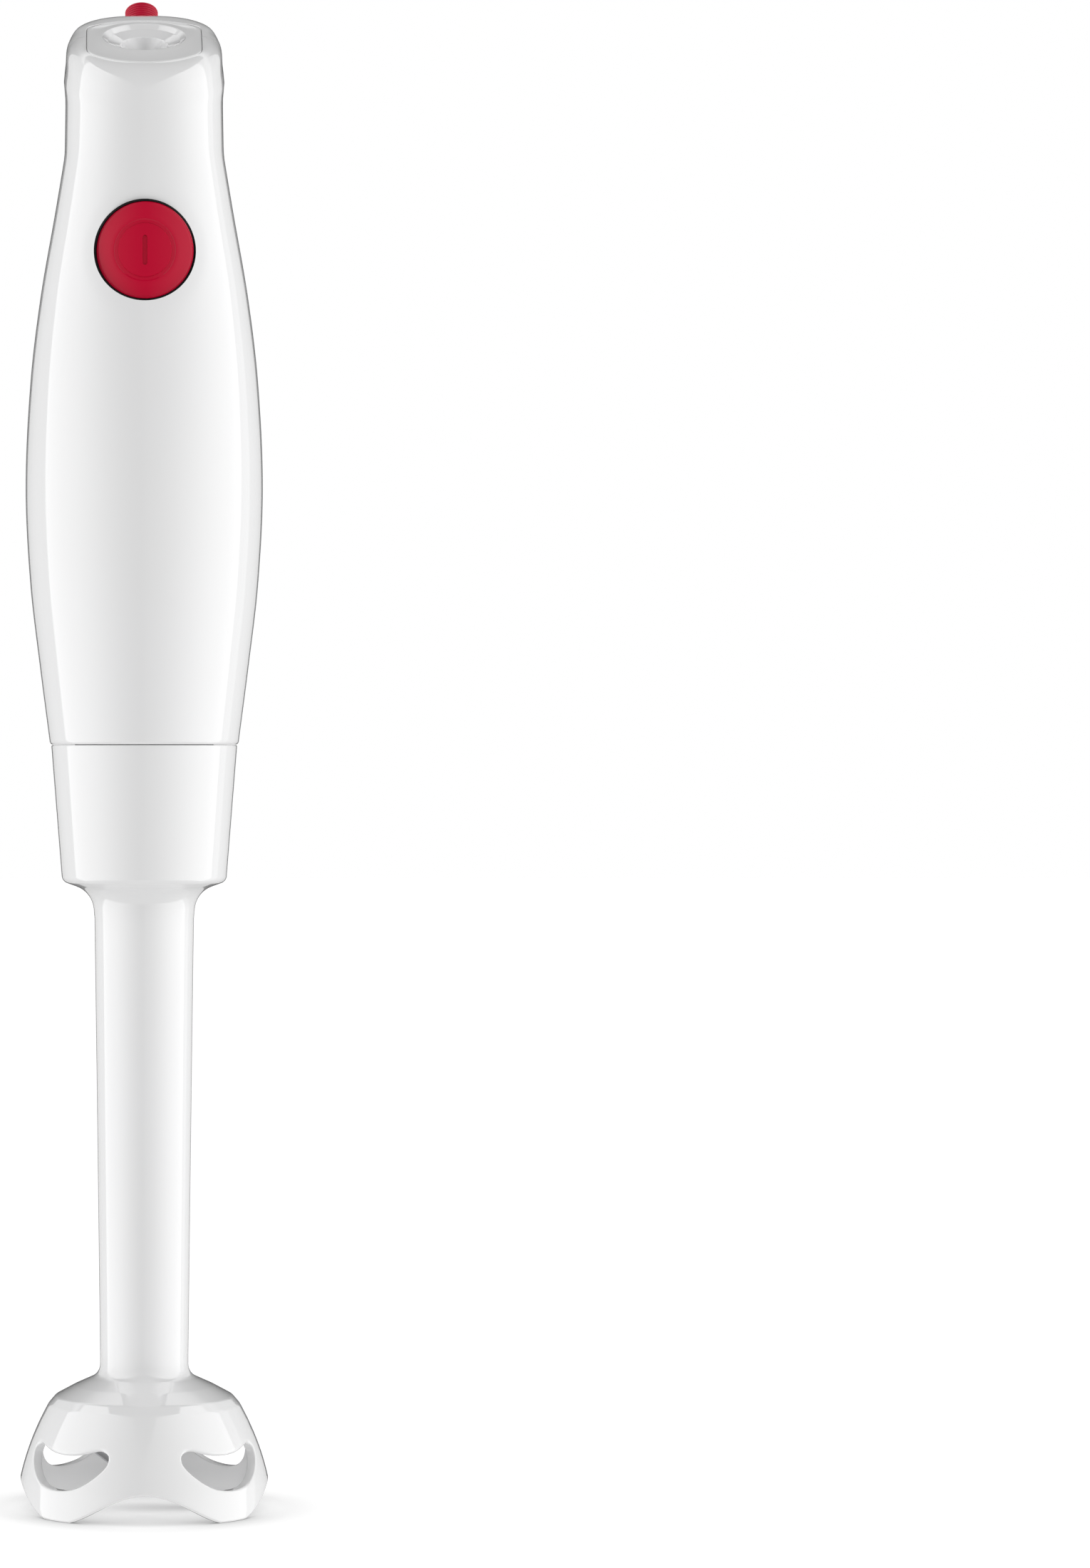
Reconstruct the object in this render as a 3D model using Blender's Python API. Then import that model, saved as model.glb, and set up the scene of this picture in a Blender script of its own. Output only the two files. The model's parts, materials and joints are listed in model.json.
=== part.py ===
"""An immersion blender, modelled as the separate pieces that it is assembled from.

Blender works in metres, +Z up. The origin is on the blade axis, on the surface that the foot
stands on, and the power button faces -Y. The helper functions take millimetres.
"""
import math

import bmesh
import bpy
from mathutils import Vector

for old in list(bpy.data.objects):
    bpy.data.objects.remove(old, do_unlink=True)

MM = 0.001
GAP = 0.3                 # clearance between neighbouring pieces
WALL = 2.2                # moulded wall of the handle
TURN = 24                 # sides of a shaft, or of a piece that runs on one
PLAIN = 16                # sides of a turned piece with nothing turning against it

# Foot: collar, tube and bell
FOOT_SIDES = 48
COLLAR_TOP = 188.9
COLLAR_TOP_R = 23.05
COLLAR_LOW_R = 20.35
COLLAR_BORE_R = 18.6
TUBE_BORE_R = 8.8
BELL_LIP_R = 30.8         # outer radius where the arches of the lower edge top out
ARCH_HEIGHT = 7.3
SKIRT_TOP = 22.0          # below this height the skirt follows the arched lower edge
SKIRT_ROWS = 5
BELL_LOBES = 4

# Handle: (height, half width, depth to the front, depth to the back)
HANDLE_BOTTOM = 189.4
HANDLE_STATIONS = (
    (190.4, 23.5, 23.5, 23.5),
    (208.0, 25.8, 25.8, 25.8),
    (229.0, 28.25, 28.25, 28.25),
    (253.0, 29.4, 29.4, 29.4),
    (279.0, 28.2, 28.0, 28.3),
    (300.0, 25.7, 25.4, 26.0),
    (321.0, 22.05, 23.4, 23.2),
    (335.0, 19.7, 22.0, 21.6),
)
HANDLE_ROWS = (190.4, 199, 208, 218, 229, 241, 253, 266, 279, 290, 300, 311, 321, 335)
HALF_COLUMNS = 20         # points across one half shell
PARTING_ANGLE = math.radians(0.36)

# Head: a panel slanted up towards the back, with a round recess
PANEL_SLOPE = math.radians(26.5)
PANEL_CENTRE = (2.0, 365.0)          # y, z of the recess centre on the panel
PANEL_HALF_WIDTH = 14.35
PANEL_FRONT = 20.0
PANEL_BACK = 13.3
PANEL_FRONT_R = 17.1
PANEL_BACK_R = 21.4
SHOULDER_DROP = 5.0
HEAD_HALF_WIDTH = 19.4
HEAD_FRONT_Y = -20.8
HEAD_BACK_Y = 21.9
CHEEK_Z = 354.3                      # the head's sides stand out a little at this height
CHEEK_RISE = 0.45

# Button, on a horizontal axis
BUTTON_Z = 309.4
BUTTON_R = 11.87
BUTTON_FRONT = -24.0
BUTTON_HOLE_R = 12.3

# Cord gland, leaning back from the rear of the head
GLAND_TIP = (-0.5, 25.2, 374.7)
GLAND_TILT = math.radians(59.0)
GLAND_R = 4.15
GLAND_INNER_END = -22.5              # along the gland's axis from its tip
GLAND_AXIS = (0.0, math.cos(GLAND_TILT), math.sin(GLAND_TILT))

# Drive line
MOTOR_SHAFT_R = 2.5
BLADE_SHAFT_R = 3.0
BLADE_Z = 10.6
SCREW_X = 19.0
SCREW_Z = 290.0


def material(name, colour, roughness, metallic=0.0):
    """A Principled material."""
    mat = bpy.data.materials.new(name)
    mat.use_nodes = True
    shader = mat.node_tree.nodes["Principled BSDF"]
    shader.inputs["Base Color"].default_value = (*colour, 1.0)
    shader.inputs["Roughness"].default_value = roughness
    shader.inputs["Metallic"].default_value = metallic
    mat.diffuse_color = (*colour, 1.0)
    return mat


WHITE = material("white_gloss", (0.83, 0.83, 0.83), 0.18)
RED = material("red_button", (0.48, 0.01, 0.03), 0.35)
RED_RUBBER = material("red_gland", (0.40, 0.01, 0.03), 0.5)
BLACK = material("black_plastic", (0.012, 0.012, 0.012), 0.45)
GREY = material("grey_nylon", (0.35, 0.36, 0.37), 0.5)
RUBBER = material("black_rubber", (0.02, 0.02, 0.02), 0.8)
STEEL = material("stainless_steel", (0.55, 0.56, 0.57), 0.28, 1.0)
ZINC = material("zinc_plated_steel", (0.45, 0.46, 0.45), 0.4, 1.0)
COPPER = material("copper_winding", (0.62, 0.22, 0.09), 0.4, 1.0)
BRASS = material("brass", (0.70, 0.48, 0.18), 0.35, 1.0)
BRONZE = material("sintered_bronze", (0.42, 0.25, 0.12), 0.55, 1.0)
CARBON = material("carbon_brush", (0.03, 0.03, 0.035), 0.6)
FERRITE = material("ferrite_magnet", (0.07, 0.07, 0.075), 0.6)
BOARD = material("circuit_board_green", (0.02, 0.16, 0.06), 0.5)
YELLOW = material("capacitor_yellow", (0.75, 0.52, 0.05), 0.45)
WIRE = material("wire_insulation", (0.05, 0.10, 0.35), 0.5)


def place(obj, at, along):
    """Puts an object's origin at a point and turns its local Z along a direction."""
    obj.location = [c * MM for c in at]
    obj.rotation_mode = "QUATERNION"
    obj.rotation_quaternion = Vector((0, 0, 1)).rotation_difference(Vector(along))
    bpy.context.collection.objects.link(obj)


def solid(name, rows, mat, hollow=False, open_sides=False, at=(0, 0, 0), along=(0, 0, 1)):
    """One closed body through rows of points.

    Each row is a closed loop, or with open_sides an arc. A hollow body's last row joins its
    first row, and any other body is capped at both ends.
    """
    columns = len(rows[0])
    count = len(rows)
    faces = []
    for r in range(count if hollow else count - 1):
        after = (r + 1) % count
        for c in range(columns - 1 if open_sides else columns):
            d = (c + 1) % columns
            faces.append((r * columns + c, r * columns + d, after * columns + d, after * columns + c))
    if not hollow:
        faces.append(tuple(range(columns)))
        faces.append(tuple(range((count - 1) * columns, count * columns)))
    if open_sides:
        for side in (0, columns - 1):
            for r in range(count // 2 - 1):
                ends = (r, r + 1, count - 2 - r, count - 1 - r)
                faces.append(tuple(e * columns + side for e in ends))
    mesh = bpy.data.meshes.new(name)
    mesh.from_pydata([[c * MM for c in point] for row in rows for point in row], [], faces)
    bm = bmesh.new()
    bm.from_mesh(mesh)
    bmesh.ops.recalc_face_normals(bm, faces=bm.faces)
    bm.to_mesh(mesh)
    bm.free()
    mesh.materials.append(mat)
    mesh.shade_smooth()
    mesh.set_sharp_from_angle(angle=math.radians(35))
    obj = bpy.data.objects.new(name, mesh)
    place(obj, at, along)
    return obj


def circle(radius, z, sides=TURN):
    """A level ring of points round the local Z axis."""
    turns = [2 * math.pi * i / sides for i in range(sides)]
    return [(radius * math.cos(t), radius * math.sin(t), z) for t in turns]


def turned(name, profile, mat, sides=TURN, hollow=False, at=(0, 0, 0), along=(0, 0, 1)):
    """A turned piece from (radius, height) points."""
    rows = [circle(r, z, sides) for r, z in profile]
    return solid(name, rows, mat, hollow, at=at, along=along)


def ring(name, inner, outer, low, high, mat, sides=TURN, at=(0, 0, 0), along=(0, 0, 1)):
    """A plain ring, bush or washer."""
    profile = ((outer, high), (outer, low), (inner, low), (inner, high))
    return turned(name, profile, mat, sides, True, at, along)


def rod(name, radius, low, high, mat, sides=TURN, at=(0, 0, 0), along=(0, 0, 1)):
    """A plain round rod."""
    return turned(name, ((radius, low), (radius, high)), mat, sides, False, at, along)


def box(name, size, centre, mat):
    """A rectangular block."""
    x, y, z = (s / 2 for s in size)
    rows = [[(-x, -y, h), (x, -y, h), (x, y, h), (-x, y, h)] for h in (-z, z)]
    return solid(name, rows, mat, at=centre)


def sectors(name, inner, outer, low, high, centres, half_angle, mat, steps=4):
    """Separate ring sectors round the Z axis as one guide object, for cutting or joining."""
    parts = []
    for number, centre in enumerate(centres):
        angles = [math.radians(centre - half_angle + 2 * half_angle * i / steps) for i in range(steps + 1)]
        outline = [(outer * math.cos(a), outer * math.sin(a)) for a in angles]
        outline += [(inner * math.cos(a), inner * math.sin(a)) for a in reversed(angles)]
        rows = [[(x, y, z) for x, y in outline] for z in (low, high)]
        parts.append(solid(f"{name}_{number}", rows, mat))
    joined = merge(parts)
    joined.name = name
    return joined


def merge(parts):
    """Joins objects that stand at the origin into the first one."""
    bm = bmesh.new()
    for part in parts:
        bm.from_mesh(part.data)
    bm.to_mesh(parts[0].data)
    bm.free()
    for part in parts[1:]:
        bpy.data.objects.remove(part, do_unlink=True)
    return parts[0]


def combine(target, guide, operation="DIFFERENCE"):
    """Cuts, joins or trims a piece with a guide object, which isn't a piece itself."""
    modifier = target.modifiers.new(guide.name, "BOOLEAN")
    modifier.operation = operation
    modifier.object = guide
    guide.hide_render = True
    guide.display_type = "WIRE"


def wire(name, points, radius, mat, resolution=1):
    """A round wire through points, with closed ends."""
    curve = bpy.data.curves.new(name, "CURVE")
    curve.dimensions = "3D"
    curve.bevel_depth = radius * MM
    curve.bevel_resolution = resolution
    curve.use_fill_caps = True
    spline = curve.splines.new("POLY")
    spline.points.add(len(points) - 1)
    for target, point in zip(spline.points, points):
        target.co = (*(c * MM for c in point), 1.0)
    curve.materials.append(mat)
    obj = bpy.data.objects.new(name, curve)
    bpy.context.collection.objects.link(obj)
    return obj


def coil(name, radius, wire_radius, length, turns, mat, at, along, steps=8):
    """A compression spring along a direction, starting at a point."""
    axis = Vector(along)
    across = axis.orthogonal().normalized()
    beside = axis.cross(across)
    points = []
    for i in range(turns * steps + 1):
        t = 2 * math.pi * i / steps
        rise = axis * (length * i / (turns * steps))
        points.append(Vector(at) + rise + radius * (math.cos(t) * across + math.sin(t) * beside))
    return wire(name, points, wire_radius, mat, 0)


def smooth_path(points, steps):
    """Points on a Catmull-Rom curve through the given points."""
    ends = [2 * Vector(points[0]) - Vector(points[1])]
    ends += [Vector(p) for p in points]
    ends.append(2 * ends[-1] - ends[-2])
    path = []
    for i in range(1, len(ends) - 2):
        p0, p1, p2, p3 = ends[i - 1:i + 3]
        for step in range(steps):
            t = step / steps
            path.append(0.5 * (2 * p1 + (p2 - p0) * t + (2 * p0 - 5 * p1 + 4 * p2 - p3) * t ** 2
                               + (3 * p1 - p0 - 3 * p2 + p3) * t ** 3))
    path.append(ends[-2])
    return path


def fillets(corners, steps=2):
    """A (radius, height) outline whose corners (r, z, fillet) are rounded with arcs."""
    outline = []
    for i, (r, z, size) in enumerate(corners):
        if size == 0:
            outline.append((r, z))
            continue
        corner = Vector((r, z))
        before = (Vector(corners[i - 1][:2]) - corner).normalized()
        after = (Vector(corners[i + 1][:2]) - corner).normalized()
        half = before.angle(after) / 2
        reach = size / math.tan(half)
        centre = corner + (before + after).normalized() * (size / math.sin(half))
        start = corner + before * reach - centre
        sweep = start.angle_signed(corner + after * reach - centre)
        for step in range(steps + 1):
            turn = -sweep * step / steps
            x = start.x * math.cos(turn) - start.y * math.sin(turn)
            y = start.x * math.sin(turn) + start.y * math.cos(turn)
            outline.append((centre.x + x, centre.y + y))
    return outline


# ---------------------------------------------------------------- handle shells

def stations_at(z):
    """Half width, front depth and back depth of the handle at a height."""
    stations = HANDLE_STATIONS
    last = len(stations) - 2
    i = next((k for k in range(last) if z < stations[k + 1][0]), last)
    z0, z1 = stations[i][0], stations[i + 1][0]
    t = (z - z0) / (z1 - z0)
    sizes = []
    for column in (1, 2, 3):
        ends = []
        for k in (i, i + 1):
            low, high = stations[max(k - 1, 0)], stations[min(k + 1, len(stations) - 1)]
            ends.append((high[column] - low[column]) / (high[0] - low[0]) * (z1 - z0))
        v0, v1 = stations[i][column], stations[i + 1][column]
        sizes.append((2 * t ** 3 - 3 * t ** 2 + 1) * v0 + (t ** 3 - 2 * t ** 2 + t) * ends[0]
                     + (3 * t ** 2 - 2 * t ** 3) * v1 + (t ** 3 - t ** 2) * ends[1])
    return sizes


def squareness(z):
    """Superellipse exponent of the section: round at the foot, squarer at the head."""
    return 2.0 + 0.45 * min(max((z - 253.0) / 82.0, 0.0), 1.0)


def section_radius(angle, width, front, back, power):
    """Distance from the centre of a section to its outline at an angle."""
    depth = back if math.sin(angle) > 0 else front
    x = abs(math.cos(angle)) / width
    y = abs(math.sin(angle)) / depth
    return (x ** power + y ** power) ** (-1 / power)


def panel_radius(angle):
    """Distance from the recess centre to the panel's outline at an angle."""
    c, s = math.cos(angle), math.sin(angle)
    to_side = PANEL_HALF_WIDTH / max(abs(c), 1e-6)
    radius = PANEL_BACK_R if s > 0 else PANEL_FRONT_R
    centre = PANEL_BACK - PANEL_BACK_R if s > 0 else PANEL_FRONT_R - PANEL_FRONT
    to_arc = s * centre + math.sqrt((s * centre) ** 2 - centre ** 2 + radius ** 2)
    return min(to_side, to_arc)


def on_plane(angle, radius, y, z, tilt):
    """A point at polar coordinates in a plane tilted about X."""
    x = radius * math.cos(angle)
    w = radius * math.sin(angle)
    return (x, y + w * math.cos(tilt), z + w * math.sin(tilt))


def below_panel(drop):
    """The point under the recess centre at a depth along the panel's normal."""
    y, z = PANEL_CENTRE
    return y + drop * math.sin(PANEL_SLOPE), z - drop * math.cos(PANEL_SLOPE)


def head_base(angle):
    """Outline radius of the head where its shoulders begin."""
    y = below_panel(SHOULDER_DROP)[0]
    front = (y - HEAD_FRONT_Y) / math.cos(PANEL_SLOPE)
    back = (HEAD_BACK_Y - y) / math.cos(PANEL_SLOPE)
    return section_radius(angle, HEAD_HALF_WIDTH, front, back, 2.45)


def handle_rows(angles, inset):
    """Rows of the handle's surface from bottom to top, moved inwards by inset."""
    rows = []
    width, front, back = (s - 0.8 - inset for s in stations_at(HANDLE_ROWS[0]))
    rows.append([on_plane(a, section_radius(a, width, front, back, 2), 0, HANDLE_BOTTOM, 0) for a in angles])
    for z in HANDLE_ROWS:
        width, front, back = (s - inset for s in stations_at(z))
        power = squareness(z)
        rows.append([on_plane(a, section_radius(a, width, front, back, power), 0, z, 0) for a in angles])
    top_y, top_z = below_panel(SHOULDER_DROP)
    neck_z = HANDLE_ROWS[-1]
    neck = stations_at(neck_z)
    for t in (0.33, 0.67, 1.0):
        tilt = PANEL_SLOPE * t
        y = top_y * t
        front_y = -neck[1] + (HEAD_FRONT_Y + neck[1]) * t
        back_y = neck[2] + (HEAD_BACK_Y - neck[2]) * t
        front = (y - front_y) / math.cos(tilt) - inset
        back = (back_y - y) / math.cos(tilt) - inset
        z = neck_z + (top_z - neck_z) * t
        cheek = CHEEK_RISE * math.exp(-((z - CHEEK_Z) / 3.0) ** 2)
        width = neck[0] + (HEAD_HALF_WIDTH - neck[0]) * t + cheek - inset
        rows.append([on_plane(a, section_radius(a, width, front, back, 2.45), y, z, tilt) for a in angles])
    edge = 1.5 if inset else -GAP
    floor = 2.6 if inset else 0.0
    for t in (0.25, 0.5, 0.75, 1.0):
        row = []
        for a in angles:
            power = 2.0 if math.sin(a) > 0.6 else 1.0
            inwards = math.cos(t * math.pi / 2) ** (1 / power)
            upwards = math.sin(t * math.pi / 2) ** (1 / power)
            rim = panel_radius(a) - edge
            radius = rim + (head_base(a) - inset - rim) * inwards
            drop = floor + (SHOULDER_DROP - floor) * (1 - upwards)
            row.append(on_plane(a, radius, *below_panel(drop), PANEL_SLOPE))
        rows.append(row)
    return rows


def half_shell(name, start):
    """One of the two moulded halves of the handle, from an angle through half a turn."""
    span = math.pi - 2 * PARTING_ANGLE
    angles = [start + PARTING_ANGLE + span * i / (HALF_COLUMNS - 1) for i in range(HALF_COLUMNS)]
    rows = handle_rows(angles, 0.0) + handle_rows(angles, WALL)[::-1]
    return solid(name, rows, WHITE, hollow=True, open_sides=True)


def envelope():
    """The space inside the handle's outer surface, used to trim the screw posts."""
    turns = [2 * math.pi * i / 40 for i in range(40)]
    return solid("handle_envelope", handle_rows(turns, 0.9)[:16], WHITE)


def handle_shells():
    """Front and rear shell, with their screw posts and holes."""
    front = half_shell("front_shell", math.pi)
    rear = half_shell("rear_shell", 0.0)
    inside = envelope()
    inside.hide_render = True
    inside.display_type = "WIRE"
    for side, x in (("left", -SCREW_X), ("right", SCREW_X)):
        front_post = rod(f"front_post_{side}", 3.4, GAP / 2, 26, WHITE, 16, (x, 0, SCREW_Z), (0, -1, 0))
        rear_post = rod(f"rear_post_{side}", 3.4, GAP / 2, 26, WHITE, 16, (x, 0, SCREW_Z), (0, 1, 0))
        combine(front_post, inside, "INTERSECT")
        combine(rear_post, inside, "INTERSECT")
        combine(front, front_post, "UNION")
        combine(rear, rear_post, "UNION")
        pilot = rod(f"pilot_hole_{side}", 1.5, -9.5, 8, WHITE, 12, (x, 0, SCREW_Z), (0, 1, 0))
        recess = rod(f"head_recess_{side}", 3.0, 7, 30, WHITE, 16, (x, 0, SCREW_Z), (0, 1, 0))
        combine(front, pilot)
        combine(rear, pilot)
        combine(rear, recess)
        profile = ((0.4, -8.5), (1.2, -7.5), (1.2, 7.3), (2.6, 7.3), (2.6, 8.3), (1.8, 9.3))
        turned(f"shell_screw_{side}", profile, ZINC, 12, at=(x, 0, SCREW_Z), along=(0, 1, 0))
    hole = rod("button_hole", BUTTON_HOLE_R, 10, 32, WHITE, 32, (0, 0, BUTTON_Z), (0, -1, 0))
    combine(front, hole)
    outlet = rod("gland_hole", GLAND_R + GAP, GLAND_INNER_END - 1.5, 6, WHITE, TURN, GLAND_TIP, GLAND_AXIS)
    combine(rear, outlet)


def top_panel():
    """The slanted insert in the head, with its round blind recess."""
    angles = [2 * math.pi * i / 32 for i in range(32)]

    def disc(radius, drop):
        return [on_plane(a, radius, *below_panel(drop), PANEL_SLOPE) for a in angles]

    def outline(inset, drop):
        return [on_plane(a, panel_radius(a) - inset, *below_panel(drop), PANEL_SLOPE) for a in angles]

    rows = [disc(4.6, 5.6), disc(5.2, 5.1), disc(6.3, 1.9), disc(10.0, 0.3), disc(10.6, 0.0)]
    rows += [outline(GAP, 0.0), outline(GAP + 1.9, 2.4), disc(11.0, 2.4)]
    rows += [disc(8.2, 3.6), disc(6.6, 6.4), disc(5.6, 6.9)]
    solid("top_panel", rows, WHITE)


# ---------------------------------------------------------------- cord entry

def cord_entry():
    """The ribbed gland and the clamp that grips the cord inside."""
    profile = [(2.6, 0.0), (3.4, 0.0)]
    for rib in range(5):
        start = -0.35 - 1.4 * rib
        profile += [(GLAND_R, start), (GLAND_R, start - 0.6), (GLAND_R - 0.45, start - 1.0)]
    profile += [(GLAND_R, -7.6), (GLAND_R, GLAND_INNER_END), (2.6, GLAND_INNER_END)]
    turned("cord_gland", profile, RED_RUBBER, PLAIN, True, GLAND_TIP, GLAND_AXIS)
    bar = box("cord_clamp", (19, 5.5, 3), (0, 9.5, 348.5), GREY)
    for side, x in (("left", -7.0), ("right", 7.0)):
        hole = rod(f"clamp_hole_{side}", 1.5, -4, 4, GREY, 12, (x, 9.5, 348.5))
        combine(bar, hole)
        profile = ((0.5, -9.0), (1.2, -8.0), (1.2, 1.9), (2.3, 1.9), (2.3, 2.8), (1.5, 3.5))
        turned(f"clamp_screw_{side}", profile, ZINC, 12, at=(x, 9.5, 348.5))


# ---------------------------------------------------------------- power button and electronics

def power_button():
    """Push button, its guide, spring and the switch behind it."""
    front = (0, BUTTON_FRONT, BUTTON_Z)
    inwards = (0, 1, 0)
    profile = ((6.4, 0.0), (6.6, 0.25), (7.4, 0.25), (7.6, 0.0), (11.57, 0.0), (BUTTON_R, 0.3),
               (BUTTON_R, 6.0), (10.9, 6.0), (10.9, 2.2), (2.4, 2.2), (2.4, 11.2))
    cap = turned("button_cap", profile, RED, TURN, at=front, along=inwards)
    rounds = [math.pi * i / 6 for i in range(7)]
    outline = [(0.6 * math.cos(a), 3.05 + 0.6 * math.sin(a)) for a in rounds]
    outline += [(-x, -y) for x, y in outline]
    mark = solid("bar_groove", [[(x, y, h) for x, y in outline] for h in (-1.0, 0.3)], RED, at=front,
                 along=inwards)
    combine(cap, mark)
    profile = ((13.8, 6.6), (13.8, 11.6), (2.9, 11.6), (2.9, 10.4), (12.6, 10.4), (12.6, 6.6))
    turned("button_guide", profile, BLACK, TURN, True, front, inwards)
    coil("button_spring", 4.6, 0.35, 7.2, 4, STEEL, (0, BUTTON_FRONT + 2.7, BUTTON_Z), inwards)
    body = box("switch_body", (13, 9, 13), (0, -4.8, BUTTON_Z), BLACK)
    bore = rod("plunger_bore", 1.8, -10, -4.2, BLACK, 12, (0, 0, BUTTON_Z), inwards)
    combine(body, bore)
    rod("switch_plunger", 1.4, -12.0, -6.8, GREY, 12, (0, 0, BUTTON_Z), inwards)


def electronics():
    """Circuit board and the parts on it."""
    box("circuit_board", (30, 1.6, 44), (0, 0.8, 317), BOARD)
    box("bridge_rectifier", (14, 4, 9), (0, 3.9, 300.5), BLACK)
    box("suppressor_capacitor", (16, 7, 12), (0, 5.4, 313.5), YELLOW)
    ring("suppressor_choke", 3.0, 6.5, 2.2, 7.2, COPPER, 20, (0, 0, 328.5), (0, 1, 0))
    for side, x in (("left", -1), ("right", 1)):
        route = [(10 * x, 3.0, 296), (12 * x, 4, 289), (18 * x, 5, 282), (22 * x, 4, 275),
                 (22.4 * x, 2, 267), (21 * x, 0, 261.5), (20.1 * x, 0, 260)]
        wire(f"lead_wire_{side}", smooth_path(route, 3), 0.7, WIRE)


# ---------------------------------------------------------------- motor

def motor_stator():
    """The motor's fixed pieces."""
    profile = ((19.0, 258), (19.0, 196.4), (5.4, 196.4), (5.4, 204), (7.2, 204), (7.2, 198.2),
               (17.6, 198.2), (17.6, 258))
    turned("motor_can", profile, ZINC, TURN, True)
    ring("lower_rubber_mount", 8, 18.5, 194.5, 196.1, RUBBER, PLAIN)
    ring("upper_rubber_mount", 15.8, 18.8, 272.4, 276, RUBBER, PLAIN)
    for side, angle in (("left", 180), ("right", 0)):
        sectors(f"magnet_{side}", 14.4, 17.3, 206, 250, (angle,), 68, FERRITE, 10)
    ring("lower_bearing", MOTOR_SHAFT_R + 0.05, 5.1, 197.2, 203.6, BRONZE)
    profile = ((19.0, 272), (19.0, 258.4), (17.6, 258.4), (17.6, 268.5), (6.9, 268.5), (6.9, 266),
               (5.4, 266), (5.4, 272))
    turned("motor_end_cap", profile, BLACK, TURN, True)
    ring("upper_bearing", MOTOR_SHAFT_R + 0.05, 5.1, 266.3, 271.7, BRONZE)
    for side, x in (("left", -1), ("right", 1)):
        box(f"carbon_brush_{side}", (6, 4, 4), (9.0 * x, 0, 260.5), CARBON)
        coil(f"brush_spring_{side}", 1.5, 0.25, 4.2, 3, STEEL, (12.5 * x, 0, 260.5), (x, 0, 0))
        frames = []
        for half, reach in ((3.1, 17.2), (3.1, 7.2), (2.4, 7.2), (2.4, 17.2)):
            frames.append([(reach * x, y * half, 260.5 + z * half)
                           for y, z in ((-1, -1), (1, -1), (1, 1), (-1, 1))])
        solid(f"brush_holder_{side}", frames, BRASS, hollow=True)


def motor_rotor():
    """Everything that turns with the motor shaft."""
    rod("motor_shaft", MOTOR_SHAFT_R, 172.4, 281, STEEL)
    bore = MOTOR_SHAFT_R + GAP
    slots = 12
    laminations = []
    for tooth in range(slots):
        for radius, shift in ((10.6, 0.0), (13.6, 0.12), (13.6, 0.75), (10.6, 0.87)):
            angle = 2 * math.pi * (tooth + shift) / slots
            laminations.append((radius, angle))
    rows = [[(r * math.cos(a), r * math.sin(a), z) for r, a in laminations] for z in (246, 212)]
    rows += [[(bore * math.cos(a), bore * math.sin(a), z) for _, a in laminations] for z in (212, 246)]
    solid("armature_core", rows, ZINC, hollow=True)
    ring("lower_winding", bore, 12.2, 205, 211.7, COPPER, PLAIN)
    ring("upper_winding", bore, 12.2, 246.3, 252.4, COPPER, PLAIN)
    ring("commutator", bore, 5.6, 252.8, 264.6, BRASS, PLAIN)
    fan = ring("cooling_fan", bore, 14.6, 273, 274.2, BLACK)
    vanes = sectors("fan_vanes", 6.0, 14.4, 273.6, 279, [360 * i / 9 for i in range(9)], 3, BLACK, 1)
    hub = ring("fan_hub", bore, 5.0, 273.3, 279, BLACK)
    combine(fan, vanes, "UNION")
    combine(fan, hub, "UNION")
    plate = ring("drive_coupling", bore, 7.8, 172.4, 181, GREY)
    dogs = sectors("drive_dogs", 3.9, 7.6, 164.4, 173, (0, 180), 20, GREY)
    combine(plate, dogs, "UNION")


def motor_neck():
    """The spigot below the handle that the foot twists on to, with its seal."""
    profile = ((20.3, 194.2), (20.3, 190.0), (17.2, 190.0), (17.2, 186.2), (15.8, 186.2), (15.8, 183.4),
               (17.2, 183.4), (17.2, 171.4), (12.5, 171.4), (12.5, 188), (6.4, 188), (6.4, 194.2))
    neck = turned("bayonet_neck", profile, WHITE, TURN, True)
    lugs = sectors("bayonet_lugs", 16.5, 18.2, 174.5, 177.5, (0, 180), 9, WHITE)
    combine(neck, lugs, "UNION")
    bead = [2 * math.pi * i / 6 for i in range(6)]
    profile = [(17.2 + 1.1 * math.cos(a), 184.8 + 1.1 * math.sin(a)) for a in bead]
    turned("neck_seal", profile, RUBBER, TURN, True)


# ---------------------------------------------------------------- foot

def arch(angle):
    """Height of the bell's lower edge: lobes between four arches, each lobe with a level pad."""
    wave = 1 + math.cos(BELL_LOBES * angle)
    return max(0.0, wave * (ARCH_HEIGHT + 0.6) / 2 - 0.6)


def skirt_radius(z):
    """Outer radius of the bell's skirt: steep at the lip, leaning in further up."""
    up = max(z - ARCH_HEIGHT, 0.0)
    return BELL_LIP_R - 0.205 * up - 0.0094 * up ** 2 + 0.03 * max(ARCH_HEIGHT - z, 0)


def skirt_rows(inset):
    """Rows of the skirt from its top down to the arched edge."""
    angles = [2 * math.pi * i / FOOT_SIDES for i in range(FOOT_SIDES)]
    rows = []
    for step in range(SKIRT_ROWS):
        t = 1 - step / (SKIRT_ROWS - 1)
        row = []
        for a in angles:
            low = arch(a)
            z = low + t * (SKIRT_TOP - low)
            radius = skirt_radius(z) - inset
            row.append((radius * math.cos(a), radius * math.sin(a), z))
        rows.append(row)
    return rows


def window_cutter():
    """Four bean-shaped cutters, one above each lobe of the bell."""
    half = [(0, 17.0), (10, 17.3), (20, 18.5), (25.5, 17.9), (27.7, 15.6), (26, 13.3), (18, 9.8), (9, 7.5),
            (0, 7.05)]
    outline = half + [(-d, z) for d, z in reversed(half[1:-1])]
    parts = []
    for lobe in range(BELL_LOBES):
        middle = 360 / BELL_LOBES * (lobe + 0.5)
        rows = []
        for radius in (18.0, 36.0):
            turns = [(math.radians(middle + d), z) for d, z in outline]
            rows.append([(radius * math.cos(a), radius * math.sin(a), z) for a, z in turns])
        parts.append(solid(f"window_{lobe}", rows, WHITE))
    return merge(parts)


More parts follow.
